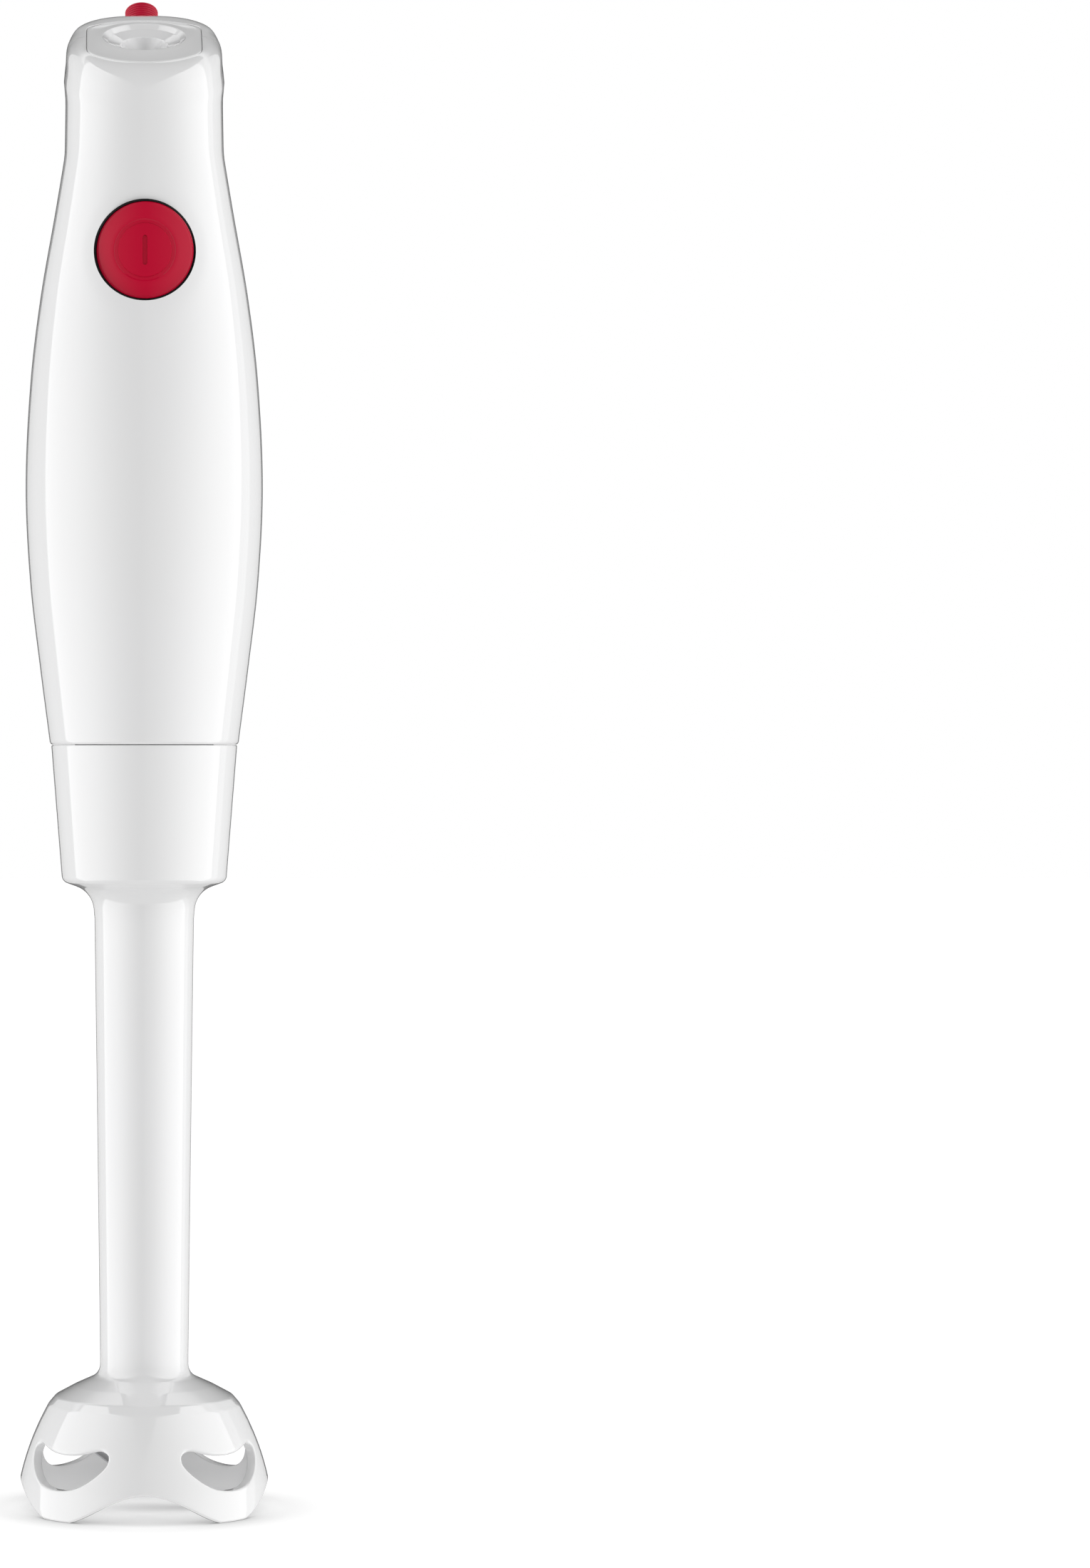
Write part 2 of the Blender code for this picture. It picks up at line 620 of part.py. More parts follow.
def foot():
    """The detachable foot: one moulding from the collar to the bell, and its bearings."""
    corners = ((COLLAR_TOP_R, COLLAR_TOP, 0), (COLLAR_LOW_R, 155.3, 2.0), (12.9, 152.6, 6.5),
               (12.3, 146.0, 0), (11.36, 73.4, 0), (10.92, 33.4, 3.6), (17.3, 30.5, 0), (22.0, 27.95, 2.2),
               (23.75, 25.9, 0), (24.75, 24.0, 0))
    outer = [circle(r, z, FOOT_SIDES) for r, z in fillets(corners)]
    outer += skirt_rows(0.0)
    inner = [circle(r, z, FOOT_SIDES) for r, z in (
        (COLLAR_BORE_R, COLLAR_TOP), (COLLAR_BORE_R, 160.0), (17.0, 158.0), (TUBE_BORE_R, 156.6),
        (TUBE_BORE_R, 41.0), (6.2, 39.0), (6.2, 23.4), (8.4, 23.4), (8.6, 29.4), (11.0, 30.3),
        (20.4, 26.2), (22.2, 23.8))]
    inner += skirt_rows(2.4)
    shell = solid("foot_shell", outer + inner[::-1], WHITE, hollow=True)
    combine(shell, window_cutter())
    ring("upper_bush", BLADE_SHAFT_R + 0.05, TUBE_BORE_R - GAP, 148, 155, BRONZE)
    ring("lower_bush", BLADE_SHAFT_R + 0.05, 5.9, 30.4, 37.6, BRONZE)
    ring("shaft_seal", BLADE_SHAFT_R + 0.05, 5.9, 25.2, 30.0, RUBBER)
    ring("seal_retainer", 3.7, 5.9, 23.7, 24.8, STEEL, PLAIN)


# ---------------------------------------------------------------- blade

def blade_unit():
    """The blade, its shaft and the coupling that the motor drives."""
    rod("blade_shaft", BLADE_SHAFT_R, 6.4, 165, STEEL)
    bore = BLADE_SHAFT_R + GAP
    plate = ring("driven_coupling", bore, 7.8, 158.4, 163.9, GREY)
    dogs = sectors("driven_dogs", 3.9, 7.6, 163.2, 171.9, (90, 270), 20, GREY)
    combine(plate, dogs, "UNION")
    ring("shaft_circlip", bore, 5.2, 156.6, 157.6, STEEL, PLAIN)
    ring("blade_hub", bore, 6.4, 11.4, 22.6, GREY)
    flats = [4.4 / math.cos((2 * math.pi * i / TURN) % (math.pi / 3) - math.pi / 6) for i in range(TURN)]
    hexagon = [[(x * r, y * r, z) for (x, y, _), r in zip(circle(1.0, 0), flats)] for z in (9.7, 7.1)]
    solid("blade_nut", hexagon + [circle(bore, 7.1), circle(bore, 9.7)], STEEL, hollow=True)
    slope = math.tan(math.radians(37))
    stations = ((-19.5, 12.5 * slope, 2.0), (-18.0, 11.0 * slope, 3.4), (-7.0, 0.0, 4.6), (0.0, 0.0, 6.0),
                (6.0, 0.0, 4.6), (13.0, -7.0, 3.4), (14.0, -8.0, 2.4))
    rows = []
    for x, rise, half in stations:
        z = BLADE_Z + rise
        rows.append([(x, -half, z - 0.45), (x, half, z - 0.45), (x, half, z + 0.45), (x, -half, z + 0.45)])
    blade = solid("blade", rows, STEEL)
    combine(blade, rod("blade_hole", bore, 5, 16, STEEL))


handle_shells()
top_panel()
cord_entry()
power_button()
electronics()
motor_stator()
motor_rotor()
motor_neck()
foot()
blade_unit()
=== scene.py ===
"""The looks of an immersion blender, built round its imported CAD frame.

Metres, +Z up, the power button faces -Y. Shape values are millimetres where a name says so.
"""
import json
import math

import bmesh
import bpy
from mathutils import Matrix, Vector


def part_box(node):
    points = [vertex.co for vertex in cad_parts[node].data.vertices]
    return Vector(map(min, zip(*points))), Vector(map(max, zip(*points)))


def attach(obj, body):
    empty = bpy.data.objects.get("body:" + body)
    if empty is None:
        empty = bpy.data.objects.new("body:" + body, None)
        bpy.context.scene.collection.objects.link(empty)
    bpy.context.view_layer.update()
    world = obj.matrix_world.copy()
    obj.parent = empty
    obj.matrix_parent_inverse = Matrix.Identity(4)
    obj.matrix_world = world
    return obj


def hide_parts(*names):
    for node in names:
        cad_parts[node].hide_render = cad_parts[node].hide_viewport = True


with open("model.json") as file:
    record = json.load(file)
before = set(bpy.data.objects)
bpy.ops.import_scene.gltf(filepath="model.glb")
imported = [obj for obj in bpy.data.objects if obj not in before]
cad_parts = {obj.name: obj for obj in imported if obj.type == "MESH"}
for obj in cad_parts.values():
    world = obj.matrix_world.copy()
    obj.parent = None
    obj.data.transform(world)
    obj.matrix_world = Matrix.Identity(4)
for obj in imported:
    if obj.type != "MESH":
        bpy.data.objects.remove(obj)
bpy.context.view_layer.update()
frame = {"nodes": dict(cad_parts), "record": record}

MM = 0.001
SHARP_ANGLE = 32.0

# Heights and sizes taken from the frame, in millimetres
FOOT_BOX = [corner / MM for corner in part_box("foot_shell")]
FRONT_BOX = [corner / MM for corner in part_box("front_shell")]
BUTTON_BOX = [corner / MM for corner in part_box("button_cap")]
GLAND_BOX = [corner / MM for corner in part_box("cord_gland")]
GUIDE_BOX = [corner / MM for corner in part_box("button_guide")]
COLLAR_TOP = FOOT_BOX[1].z + 0.15
HANDLE_BOTTOM = FRONT_BOX[0].z - 0.2
BUTTON_R = (BUTTON_BOX[1].x - BUTTON_BOX[0].x) / 2
SLEEVE_R = BUTTON_R + 0.56
BUTTON_Z = (BUTTON_BOX[1].z + BUTTON_BOX[0].z) / 2
BUTTON_FRONT = BUTTON_BOX[0].y
BUTTON_BACK = BUTTON_BOX[1].y
GLAND_R = (GLAND_BOX[1].x - GLAND_BOX[0].x) / 2

# Handle: (height, half width, depth to the front, depth to the back)
HANDLE_STATIONS = (
    (190.4, 23.5, 23.5, 23.5),
    (208.0, 25.8, 25.8, 25.8),
    (229.0, 28.25, 28.25, 28.25),
    (253.0, 29.4, 29.4, 29.4),
    (279.0, 28.2, 28.0, 28.3),
    (300.0, 25.7, 25.4, 26.0),
    (321.0, 22.05, 23.4, 23.2),
    (335.0, 19.7, 22.0, 21.6),
)
WALL = 2.2
PARTING_GAP = 0.2
PARTING_R = 25.0
HALF_COLUMNS = 96
BULGE_Z = HANDLE_STATIONS[3][0]
NECK_Z = HANDLE_STATIONS[-1][0]
HEAD_POWER = 2.45

# Head: a panel slanted up towards the back, with a round recess
PANEL_SLOPE = math.radians(26.5)
PANEL_CENTRE = (2.0, 365.0)
PANEL_HALF_WIDTH = 14.35
PANEL_FRONT = 20.0
PANEL_BACK = 13.3
PANEL_FRONT_R = 17.1
PANEL_BACK_R = 21.4
PANEL_GAP = 0.12
SHOULDER_DROP = 5.0
HEAD_HALF_WIDTH = 19.4
HEAD_FRONT_Y = -20.7
HEAD_BACK_Y = 21.9
CHEEK_Z = 354.3
CHEEK_RISE = 0.45
BUTTON_SINK = 0.45
FRONT_LEAN = 0.66
FRONT_STRAIGHT = 0.15
FRONT_BREAK = 0.62

# The power button's front: its bend per mm across, squared, and its tilt to one side, which is a guess
BUTTON_CURVE = 0.0175
BUTTON_TURN = -0.0525
SLEEVE_CURVE = 0.0190
SPRING_SLACK = 0.6

# Cord gland
GLAND_TIP = (-0.5, 25.2, 374.7)
GLAND_TILT = math.radians(59.0)
GLAND_AXIS = (0.0, math.cos(GLAND_TILT), math.sin(GLAND_TILT))

# Foot
LOBES = 4
SECTOR_COLUMNS = 44
SECTOR_SIDE = 16
BELL_LIP_R = 30.8
ARCH_HEIGHT = 7.3
SKIRT_TOP = 22.0
SKIRT_WALL = 2.4
LIP_ROUND = 0.5
LIP_TOP_EXTRA = 0.7
LIP_STEPS = 6
EDGE_ROUND = 0.7


# ---------------------------------------------------------------- mesh helpers

def new_object(name, verts, faces, mat, smooth=SHARP_ANGLE, weld=0.0):
    """A mesh object from millimetre points, with its normals facing out."""
    mesh = bpy.data.meshes.new(name)
    mesh.from_pydata([[c * MM for c in v] for v in verts], [], faces)
    bm = bmesh.new()
    bm.from_mesh(mesh)
    if weld:
        bmesh.ops.remove_doubles(bm, verts=bm.verts, dist=weld * MM)
    bmesh.ops.recalc_face_normals(bm, faces=bm.faces)
    bm.to_mesh(mesh)
    bm.free()
    mesh.materials.append(mat)
    mesh.shade_smooth()
    mesh.set_sharp_from_angle(angle=math.radians(smooth))
    obj = bpy.data.objects.new(name, mesh)
    bpy.context.collection.objects.link(obj)
    return obj


def grid_faces(rows, columns, start=0, wrap=True, join=False):
    """Quads between consecutive rows of points, from a first index on."""
    faces = []
    for r in range(rows if join else rows - 1):
        after = (r + 1) % rows
        for c in range(columns if wrap else columns - 1):
            d = (c + 1) % columns
            quad = (r * columns + c, r * columns + d, after * columns + d, after * columns + c)
            faces.append(tuple(start + q for q in quad))
    return faces


def solid(name, rows, mat, hollow=False, smooth=SHARP_ANGLE):
    """A closed body through rows that are closed loops."""
    columns = len(rows[0])
    faces = grid_faces(len(rows), columns, join=hollow)
    if not hollow:
        faces.append(tuple(range(columns)))
        faces.append(tuple(range((len(rows) - 1) * columns, len(rows) * columns)))
    return new_object(name, [p for row in rows for p in row], faces, mat, smooth)


def to_axis(point, at, along):
    """Carries a point from a piece's own frame to its place in the model."""
    turn = Vector((0, 0, 1)).rotation_difference(Vector(along))
    return tuple(turn @ Vector(point) + Vector(at))


def circle(radius, z, sides):
    turns = [2 * math.pi * i / sides for i in range(sides)]
    return [(radius * math.cos(t), radius * math.sin(t), z) for t in turns]


def turned(name, profile, mat, sides=96, hollow=False, at=(0, 0, 0), along=(0, 0, 1), smooth=SHARP_ANGLE):
    """A turned piece from (radius, height) points, whose corners are already rounded."""
    rows = [[to_axis(p, at, along) for p in circle(r, z, sides)] for r, z in profile]
    return solid(name, rows, mat, hollow, smooth)


def rounded(corners, steps=5, closed=False):
    """A (radius, height) outline whose corners (r, z, fillet) are rounded with arcs."""
    outline = []
    count = len(corners)
    for i, (r, z, size) in enumerate(corners):
        if size == 0:
            outline.append((r, z))
            continue
        corner = Vector((r, z))
        before = (Vector(corners[i - 1][:2]) - corner).normalized()
        after = (Vector(corners[(i + 1) % count][:2]) - corner).normalized()
        half = before.angle(after) / 2
        reach = size / math.tan(half)
        centre = corner + (before + after).normalized() * (size / math.sin(half))
        start = corner + before * reach - centre
        sweep = start.angle_signed(corner + after * reach - centre)
        for step in range(steps + 1):
            turn = -sweep * step / steps
            x = start.x * math.cos(turn) - start.y * math.sin(turn)
            y = start.x * math.sin(turn) + start.y * math.cos(turn)
            outline.append((centre.x + x, centre.y + y))
    return outline


def combine(target, guide, operation="DIFFERENCE"):
    """Cuts or joins a piece with a guide object, and removes the guide."""
    modifier = target.modifiers.new("shape", "BOOLEAN")
    modifier.operation = operation
    modifier.object = guide
    bpy.context.view_layer.update()
    evaluated = target.evaluated_get(bpy.context.evaluated_depsgraph_get())
    mesh = bpy.data.meshes.new_from_object(evaluated)
    target.modifiers.clear()
    target.data = mesh
    mesh.set_sharp_from_angle(angle=math.radians(SHARP_ANGLE))
    bpy.data.objects.remove(guide, do_unlink=True)


def smoothstep(low, high, value):
    t = min(max((value - low) / (high - low), 0.0), 1.0)
    return t * t * (3 - 2 * t)


# ---------------------------------------------------------------- materials

class Nodes:
    """Small helper for building a material's node tree."""

    def __init__(self, name):
        self.material = bpy.data.materials.new(name)
        self.material.use_nodes = True
        self.tree = self.material.node_tree
        self.shader = self.tree.nodes["Principled BSDF"]
        self.coords = self.tree.nodes.new("ShaderNodeTexCoord").outputs["Object"]

    def add(self, kind, **inputs):
        node = self.tree.nodes.new(kind)
        for key, value in inputs.items():
            node.inputs[key.replace("_", " ")].default_value = value
        return node

    def link(self, output, socket):
        self.tree.links.new(output, socket)

    def noise(self, scale, detail=2.0, roughness=0.5, coords=None):
        node = self.add("ShaderNodeTexNoise", Scale=scale, Detail=detail, Roughness=roughness)
        self.link(coords or self.coords, node.inputs["Vector"])
        return node.outputs["Fac"]

    def ramp(self, value, low, high, start=0.3, end=0.7):
        node = self.add("ShaderNodeMapRange")
        node.inputs["From Min"].default_value = start
        node.inputs["From Max"].default_value = end
        node.inputs["To Min"].default_value = low
        node.inputs["To Max"].default_value = high
        self.link(value, node.inputs["Value"])
        return node.outputs["Result"]

    def colours(self, value, first, second):
        node = self.tree.nodes.new("ShaderNodeMix")
        node.data_type = "RGBA"
        node.inputs["A"].default_value = (*first, 1)
        node.inputs["B"].default_value = (*second, 1)
        self.link(value, node.inputs["Factor"])
        return node.outputs["Result"]

    def bump(self, height, strength, distance, before=None):
        node = self.add("ShaderNodeBump", Strength=strength, Distance=distance)
        self.link(height, node.inputs["Height"])
        if before:
            self.link(before, node.inputs["Normal"])
        return node.outputs["Normal"]


def moulded(name, colour, tint, rough, grain, grain_size=9000.0, coat=0.0, specular=0.5):
    """Moulded plastic: a faint flow variation in its colour and a fine surface grain."""
    n = Nodes(name)
    flow = n.noise(14.0, 3.0)
    n.link(n.colours(n.ramp(flow, 0.0, 1.0), colour, tint), n.shader.inputs["Base Color"])
    n.link(n.ramp(n.noise(55.0, 4.0), rough - 0.02, rough + 0.02), n.shader.inputs["Roughness"])
    n.link(n.bump(n.noise(grain_size, 2.0), grain, 0.00002), n.shader.inputs["Normal"])
    n.shader.inputs["Coat Weight"].default_value = coat
    n.shader.inputs["Coat Roughness"].default_value = 0.04
    n.shader.inputs["Specular IOR Level"].default_value = specular
    return n.material


def brushed(name, colour, rough, stretch=(30.0, 30.0, 900.0)):
    """Brushed or ground metal, with its fine lines across the axis of the piece."""
    n = Nodes(name)
    mapping = n.add("ShaderNodeMapping")
    mapping.inputs["Scale"].default_value = stretch
    n.link(n.coords, mapping.inputs["Vector"])
    lines = n.noise(6.0, 5.0, 0.6, mapping.outputs["Vector"])
    darker = tuple(c * 0.82 for c in colour)
    n.link(n.colours(n.ramp(lines, 0.0, 1.0), darker, colour), n.shader.inputs["Base Color"])
    n.link(n.ramp(lines, rough - 0.06, rough + 0.08), n.shader.inputs["Roughness"])
    n.link(n.bump(lines, 0.25, 0.00003), n.shader.inputs["Normal"])
    n.shader.inputs["Metallic"].default_value = 1.0
    return n.material


def wound(name, colour):
    """Enamelled wire in close turns."""
    n = Nodes(name)
    wave = n.add("ShaderNodeTexWave", Scale=900.0, Distortion=1.5, Detail=1.0)
    wave.bands_direction = "Z"
    n.link(n.coords, wave.inputs["Vector"])
    dark = tuple(c * 0.35 for c in colour)
    n.link(n.colours(wave.outputs["Fac"], dark, colour), n.shader.inputs["Base Color"])
    n.link(n.bump(wave.outputs["Fac"], 0.8, 0.0002), n.shader.inputs["Normal"])
    n.shader.inputs["Metallic"].default_value = 0.8
    n.shader.inputs["Roughness"].default_value = 0.35
    return n.material


WHITE = moulded("white_gloss_plastic", (0.80, 0.80, 0.805), (0.79, 0.79, 0.79), 0.05, 0.03, 600.0, 1.0)
# A darker, rougher copy of the white plastic for the inside of the bell: its darker colour is painted shade
WHITE_PAINTED_SHADE = moulded("white_plastic_painted_shade", (0.66, 0.66, 0.665), (0.64, 0.64, 0.64), 0.35, 0.1, 900.0)
RED = moulded("red_gloss_plastic", (0.50, 0.0005, 0.028), (0.48, 0.0005, 0.026), 0.22, 0.08, 3000.0,
              specular=0.28)
RED_GRAINED = moulded("red_grained_plastic", (0.50, 0.0005, 0.028), (0.46, 0.0005, 0.024), 0.32, 0.5, 1500.0,
                      specular=0.18)
RED_SOFT = moulded("red_soft_plastic", (0.50, 0.004, 0.034), (0.46, 0.003, 0.030), 0.40, 0.2, 2500.0,
                   specular=0.3)
BLACK = moulded("black_plastic", (0.006, 0.006, 0.006), (0.008, 0.008, 0.008), 0.5, 0.3, 3000.0,
                specular=0.15)
GREY = moulded("grey_nylon", (0.30, 0.31, 0.32), (0.27, 0.28, 0.29), 0.45, 0.3, 2500.0)
RUBBER = moulded("black_rubber", (0.018, 0.018, 0.018), (0.03, 0.03, 0.03), 0.75, 0.5, 2500.0)
STEEL = brushed("stainless_steel", (0.46, 0.46, 0.47), 0.30)
PLATED = brushed("zinc_plated_steel", (0.55, 0.56, 0.55), 0.42)
SLOT_MATERIALS = {
    "white_gloss_plastic": WHITE,
    "red_gloss_plastic": RED,
    "red_soft_plastic": RED_SOFT,
    "black_plastic": BLACK,
    "grey_nylon": GREY,
    "black_rubber": RUBBER,
    "stainless_steel": STEEL,
    "zinc_plated_steel": PLATED,
    "copper_winding": wound("copper_winding", (0.72, 0.28, 0.10)),
    "brass": brushed("brass", (0.72, 0.52, 0.22), 0.32),
    "sintered_bronze": moulded("sintered_bronze", (0.30, 0.18, 0.08), (0.22, 0.13, 0.06), 0.55, 0.9, 2200.0),
    "carbon": moulded("carbon", (0.03, 0.03, 0.035), (0.05, 0.05, 0.055), 0.55, 0.8, 2600.0),
    "ferrite": moulded("ferrite", (0.05, 0.05, 0.055), (0.08, 0.08, 0.085), 0.6, 0.8, 1800.0),
    "circuit_board_green": moulded("circuit_board_green", (0.01, 0.11, 0.04), (0.02, 0.15, 0.06), 0.35, 0.4,
                                   900.0),
    "capacitor_yellow": moulded("capacitor_yellow", (0.75, 0.50, 0.04), (0.70, 0.46, 0.04), 0.35, 0.2),
    "wire_insulation": moulded("wire_insulation", (0.04, 0.09, 0.33), (0.05, 0.11, 0.38), 0.4, 0.2),
}


def dress_frame():
    """Gives every carried-over CAD node the procedural material of its slot."""
    for part in frame["record"]["subparts"]:
        mesh = frame["nodes"][part["node"]].data
        mesh.materials.clear()
        mesh.materials.append(SLOT_MATERIALS[part["material_slot"]])


# ---------------------------------------------------------------- handle

def stations_at(z):
    """Half width, front depth and back depth of the handle at a height."""
    stations = HANDLE_STATIONS
    last = len(stations) - 2
    i = next((k for k in range(last) if z < stations[k + 1][0]), last)
    z0, z1 = stations[i][0], stations[i + 1][0]
    t = (z - z0) / (z1 - z0)
    sizes = []
    for column in (1, 2, 3):
        ends = []
        for k in (i, i + 1):
            low, high = stations[max(k - 1, 0)], stations[min(k + 1, len(stations) - 1)]
            ends.append((high[column] - low[column]) / (high[0] - low[0]) * (z1 - z0))
        v0, v1 = stations[i][column], stations[i + 1][column]
        sizes.append((2 * t ** 3 - 3 * t ** 2 + 1) * v0 + (t ** 3 - 2 * t ** 2 + t) * ends[0]
                     + (3 * t ** 2 - 2 * t ** 3) * v1 + (t ** 3 - t ** 2) * ends[1])
    return sizes


def below_panel(drop):
    """The point under the recess centre at a depth along the panel's normal."""
    y, z = PANEL_CENTRE
    return y + drop * math.sin(PANEL_SLOPE), z - drop * math.cos(PANEL_SLOPE)


def section_radius(angle, width, front, back, power):
    """Distance from the centre of a section to its outline at an angle."""
    depth = back if math.sin(angle) > 0 else front
    x = abs(math.cos(angle)) / width
    y = abs(math.sin(angle)) / depth
    return (x ** power + y ** power) ** (-1 / power)


def panel_radius(angle):
    """Distance from the recess centre to the panel's outline at an angle."""
    c, s = math.cos(angle), math.sin(angle)
    to_side = PANEL_HALF_WIDTH / max(abs(c), 1e-6)
    radius = PANEL_BACK_R if s > 0 else PANEL_FRONT_R
    centre = PANEL_BACK - PANEL_BACK_R if s > 0 else PANEL_FRONT_R - PANEL_FRONT
    to_arc = s * centre + math.sqrt((s * centre) ** 2 - centre ** 2 + radius ** 2)
    blend = 26.0
    return (to_side ** -blend + to_arc ** -blend) ** (-1 / blend)


def on_plane(angle, radius, y, z, tilt):
    """A point at polar coordinates in a plane tilted about X."""
    x = radius * math.cos(angle)
    w = radius * math.sin(angle)
    return (x, y + w * math.cos(tilt), z + w * math.sin(tilt))


def head_base(angle):
    """Outline radius of the head where its shoulders begin."""
    y = below_panel(SHOULDER_DROP)[0]
    front = (y - HEAD_FRONT_Y) / math.cos(PANEL_SLOPE)
    back = (HEAD_BACK_Y - y) / math.cos(PANEL_SLOPE)
    return section_radius(angle, HEAD_HALF_WIDTH, front, back, HEAD_POWER)


def ring_list():
    """The handle's sections from bottom to top: [y, z, tilt, width, front, back, squareness]."""
    rings = []
    z = HANDLE_STATIONS[0][0]
    while z < NECK_Z:
        width, front, back = stations_at(z)
        share = min(max((z - BULGE_Z) / (NECK_Z - BULGE_Z), 0.0), 1.0)
        rings.append([0, z, 0, width, front, back, 2.0 + (HEAD_POWER - 2.0) * share])
        z += 2.0
    neck = stations_at(NECK_Z)
    top_y, top_z = below_panel(SHOULDER_DROP)
    steps = 12
    for step in range(steps + 1):
        t = step / steps
        tilt = PANEL_SLOPE * t
        y = top_y * t
        z = NECK_Z + (top_z - NECK_Z) * t
        front_y = -neck[1] + (HEAD_FRONT_Y + neck[1]) * t
        back_y = neck[2] + (HEAD_BACK_Y - neck[2]) * t
        cheek = CHEEK_RISE * math.exp(-((z - CHEEK_Z) / 3.0) ** 2)
        width = neck[0] + (HEAD_HALF_WIDTH - neck[0]) * t + cheek
        front, back = (y - front_y) / math.cos(tilt), (back_y - y) / math.cos(tilt)
        rings.append([y, z, tilt, width, front, back, HEAD_POWER])
    for _ in range(2):
        old = [list(ring) for ring in rings]
        for i in range(1, len(rings) - 1):
            if abs(rings[i][1] - NECK_Z) < 8:
                rings[i] = [(a + 2 * b + c) / 4 for a, b, c in zip(old[i - 1], old[i], old[i + 1])]
    return rings


def sink_round_button(point):
    """Sinks the shell's surface slightly towards the power button's hole."""
    x, y, z = point
    if y > 0:
        return point
    reach = math.hypot(x, z - BUTTON_Z)
    return (x, y + BUTTON_SINK * (1 - smoothstep(12.0, 15.8, reach)), z)


def handle_rows(angles, inset):
    """Rows of the handle's surface from bottom to top, moved inwards by inset."""
    rows = []
    rings = ring_list()
    first = rings[0]
    for rise, cut in ((0.0, 0.6), (0.2, 0.32), (0.6, 0.08)):
        size = [s - cut - inset for s in first[3:6]]
        z = HANDLE_BOTTOM + rise
        rows.append([on_plane(a, section_radius(a, *size, 2), 0, z, 0) for a in angles])
    for y, z, tilt, width, front, back, power in rings:
        size = (width - inset, front - inset, back - inset)
        row = [on_plane(a, section_radius(a, *size, power), y, z, tilt) for a in angles]
        rows.append([sink_round_button(p) for p in row] if not inset else row)
    edge = 1.5 if inset else -PANEL_GAP
    floor = 2.6 if inset else 0.0
    steps = 18
    for step in range(1, steps + 1):
        row = []
        for a in angles:
            rim = panel_radius(a) - edge
            radius, drop = shoulder_point(a, step / steps, head_base(a) - inset, rim, floor)
            row.append(on_plane(a, radius, *below_panel(drop), PANEL_SLOPE))
        rows.append(row)
    return rows


def shoulder_point(a, t, base, rim, floor):
    """A point on the head's shoulder at an angle: (distance from the recess axis, depth below the panel)."""
    power = 1.0 + smoothstep(0.25, 0.95, math.sin(a))
    inwards = math.cos(t * math.pi / 2) ** (1 / power)
    upwards = math.sin(t * math.pi / 2) ** (1 / power)
    round_point = Vector((rim + (base - rim) * inwards, floor + (SHOULDER_DROP - floor) * (1 - upwards)))
    front = smoothstep(0.0, 0.75, -math.sin(a))
    foot = Vector((base, SHOULDER_DROP))
    corner = Vector((base + FRONT_LEAN * (SHOULDER_DROP - floor) * math.sin(a), floor))
    start = foot.lerp(corner, FRONT_STRAIGHT)
    corner.y += FRONT_BREAK
    if t < FRONT_STRAIGHT / 2:
        tight_point = foot.lerp(start, t / FRONT_STRAIGHT * 2)
    else:
        u = (t - FRONT_STRAIGHT / 2) / (1 - FRONT_STRAIGHT / 2)
        end = Vector((rim, floor))
        tight_point = start.lerp(corner, u).lerp(corner.lerp(end, u), u)
    return round_point.lerp(tight_point, front)


def half_shell(name, start):
    """One of the two moulded halves of the handle, with a narrow gap at its parting edge."""
    half_gap = PARTING_GAP / 2 / PARTING_R
    span = math.pi - 2 * half_gap
    angles = [start + half_gap + span * i / (HALF_COLUMNS - 1) for i in range(HALF_COLUMNS)]
    outer = handle_rows(angles, 0.0)
    inner = handle_rows(angles, WALL)
    rows = outer + inner[::-1]
    count = len(rows)
    faces = grid_faces(count, HALF_COLUMNS, wrap=False, join=True)
    for side in (0, HALF_COLUMNS - 1):
        for r in range(count // 2 - 1):
            ends = (r, r + 1, count - 2 - r, count - 1 - r)
            faces.append(tuple(e * HALF_COLUMNS + side for e in ends))
    return new_object(name, [p for row in rows for p in row], faces, WHITE)


def handle():
    front = half_shell("front_housing", math.pi)
    rear = half_shell("rear_housing", 0.0)
    hole = turned("hole", ((SLEEVE_R + 0.02, -6), (SLEEVE_R + 0.02, 12)), WHITE, 160,
                  at=(0, BUTTON_FRONT, BUTTON_Z), along=(0, 1, 0))
    combine(front, hole)
    outlet = turned("outlet", ((GLAND_R + 0.15, -24), (GLAND_R + 0.15, 8)), WHITE, 96,
                    at=GLAND_TIP, along=GLAND_AXIS)
    combine(rear, outlet)
    for name in ("left", "right"):
        low, high = (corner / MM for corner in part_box(f"shell_screw_{name}"))
        x, z = (low.x + high.x) / 2, (low.z + high.z) / 2
        recess = turned("recess", ((3.0, 7.0), (3.0, 30.0)), WHITE, 48, at=(x, 0, z), along=(0, 1, 0))
        combine(rear, recess)
        tube = rounded(((3.9, 6.0, 0), (3.9, 17.0, 0), (3.0, 17.0, 0), (3.0, 8.6, 0), (1.6, 8.4, 0),
                        (1.6, 6.0, 0)))
        post = turned(f"screw_post_{name}", tube, WHITE, 48, True, (x, 0, z), (0, 1, 0))
        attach(post, "handle")
        screw(f"housing_screw_{name}", f"shell_screw_{name}", (x, 0, z), (0, 1, 0), high.y)
    for piece, node in ((front, "front_shell"), (rear, "rear_shell")):
        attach(piece, "handle")
        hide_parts(node)


def screw(name, node, at, along, top):
    """A pan-head screw with a cross recess, whose head faces along its axis."""
    corners = ((1.2, top - 17.8, 0), (1.2, top - 2.0, 0), (2.6, top - 2.0, 0.2), (2.6, top - 0.9, 0.6),
               (1.4, top, 0.4), (0.05, top + 0.05, 0))
    body = turned(name, rounded(corners), PLATED, 48, at=at, along=along)
    for turn in (0, 1):
        half = (0.28, 1.5) if turn else (1.5, 0.28)
        rows = []
        for z in (top - 1.1, top + 1.0):
            loop = [(-half[0], -half[1], z), (half[0], -half[1], z), (half[0], half[1], z),
                    (-half[0], half[1], z)]
            rows.append([to_axis(p, at, along) for p in loop])
        combine(body, solid("slot", rows, PLATED))
    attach(body, "handle")
    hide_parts(node)


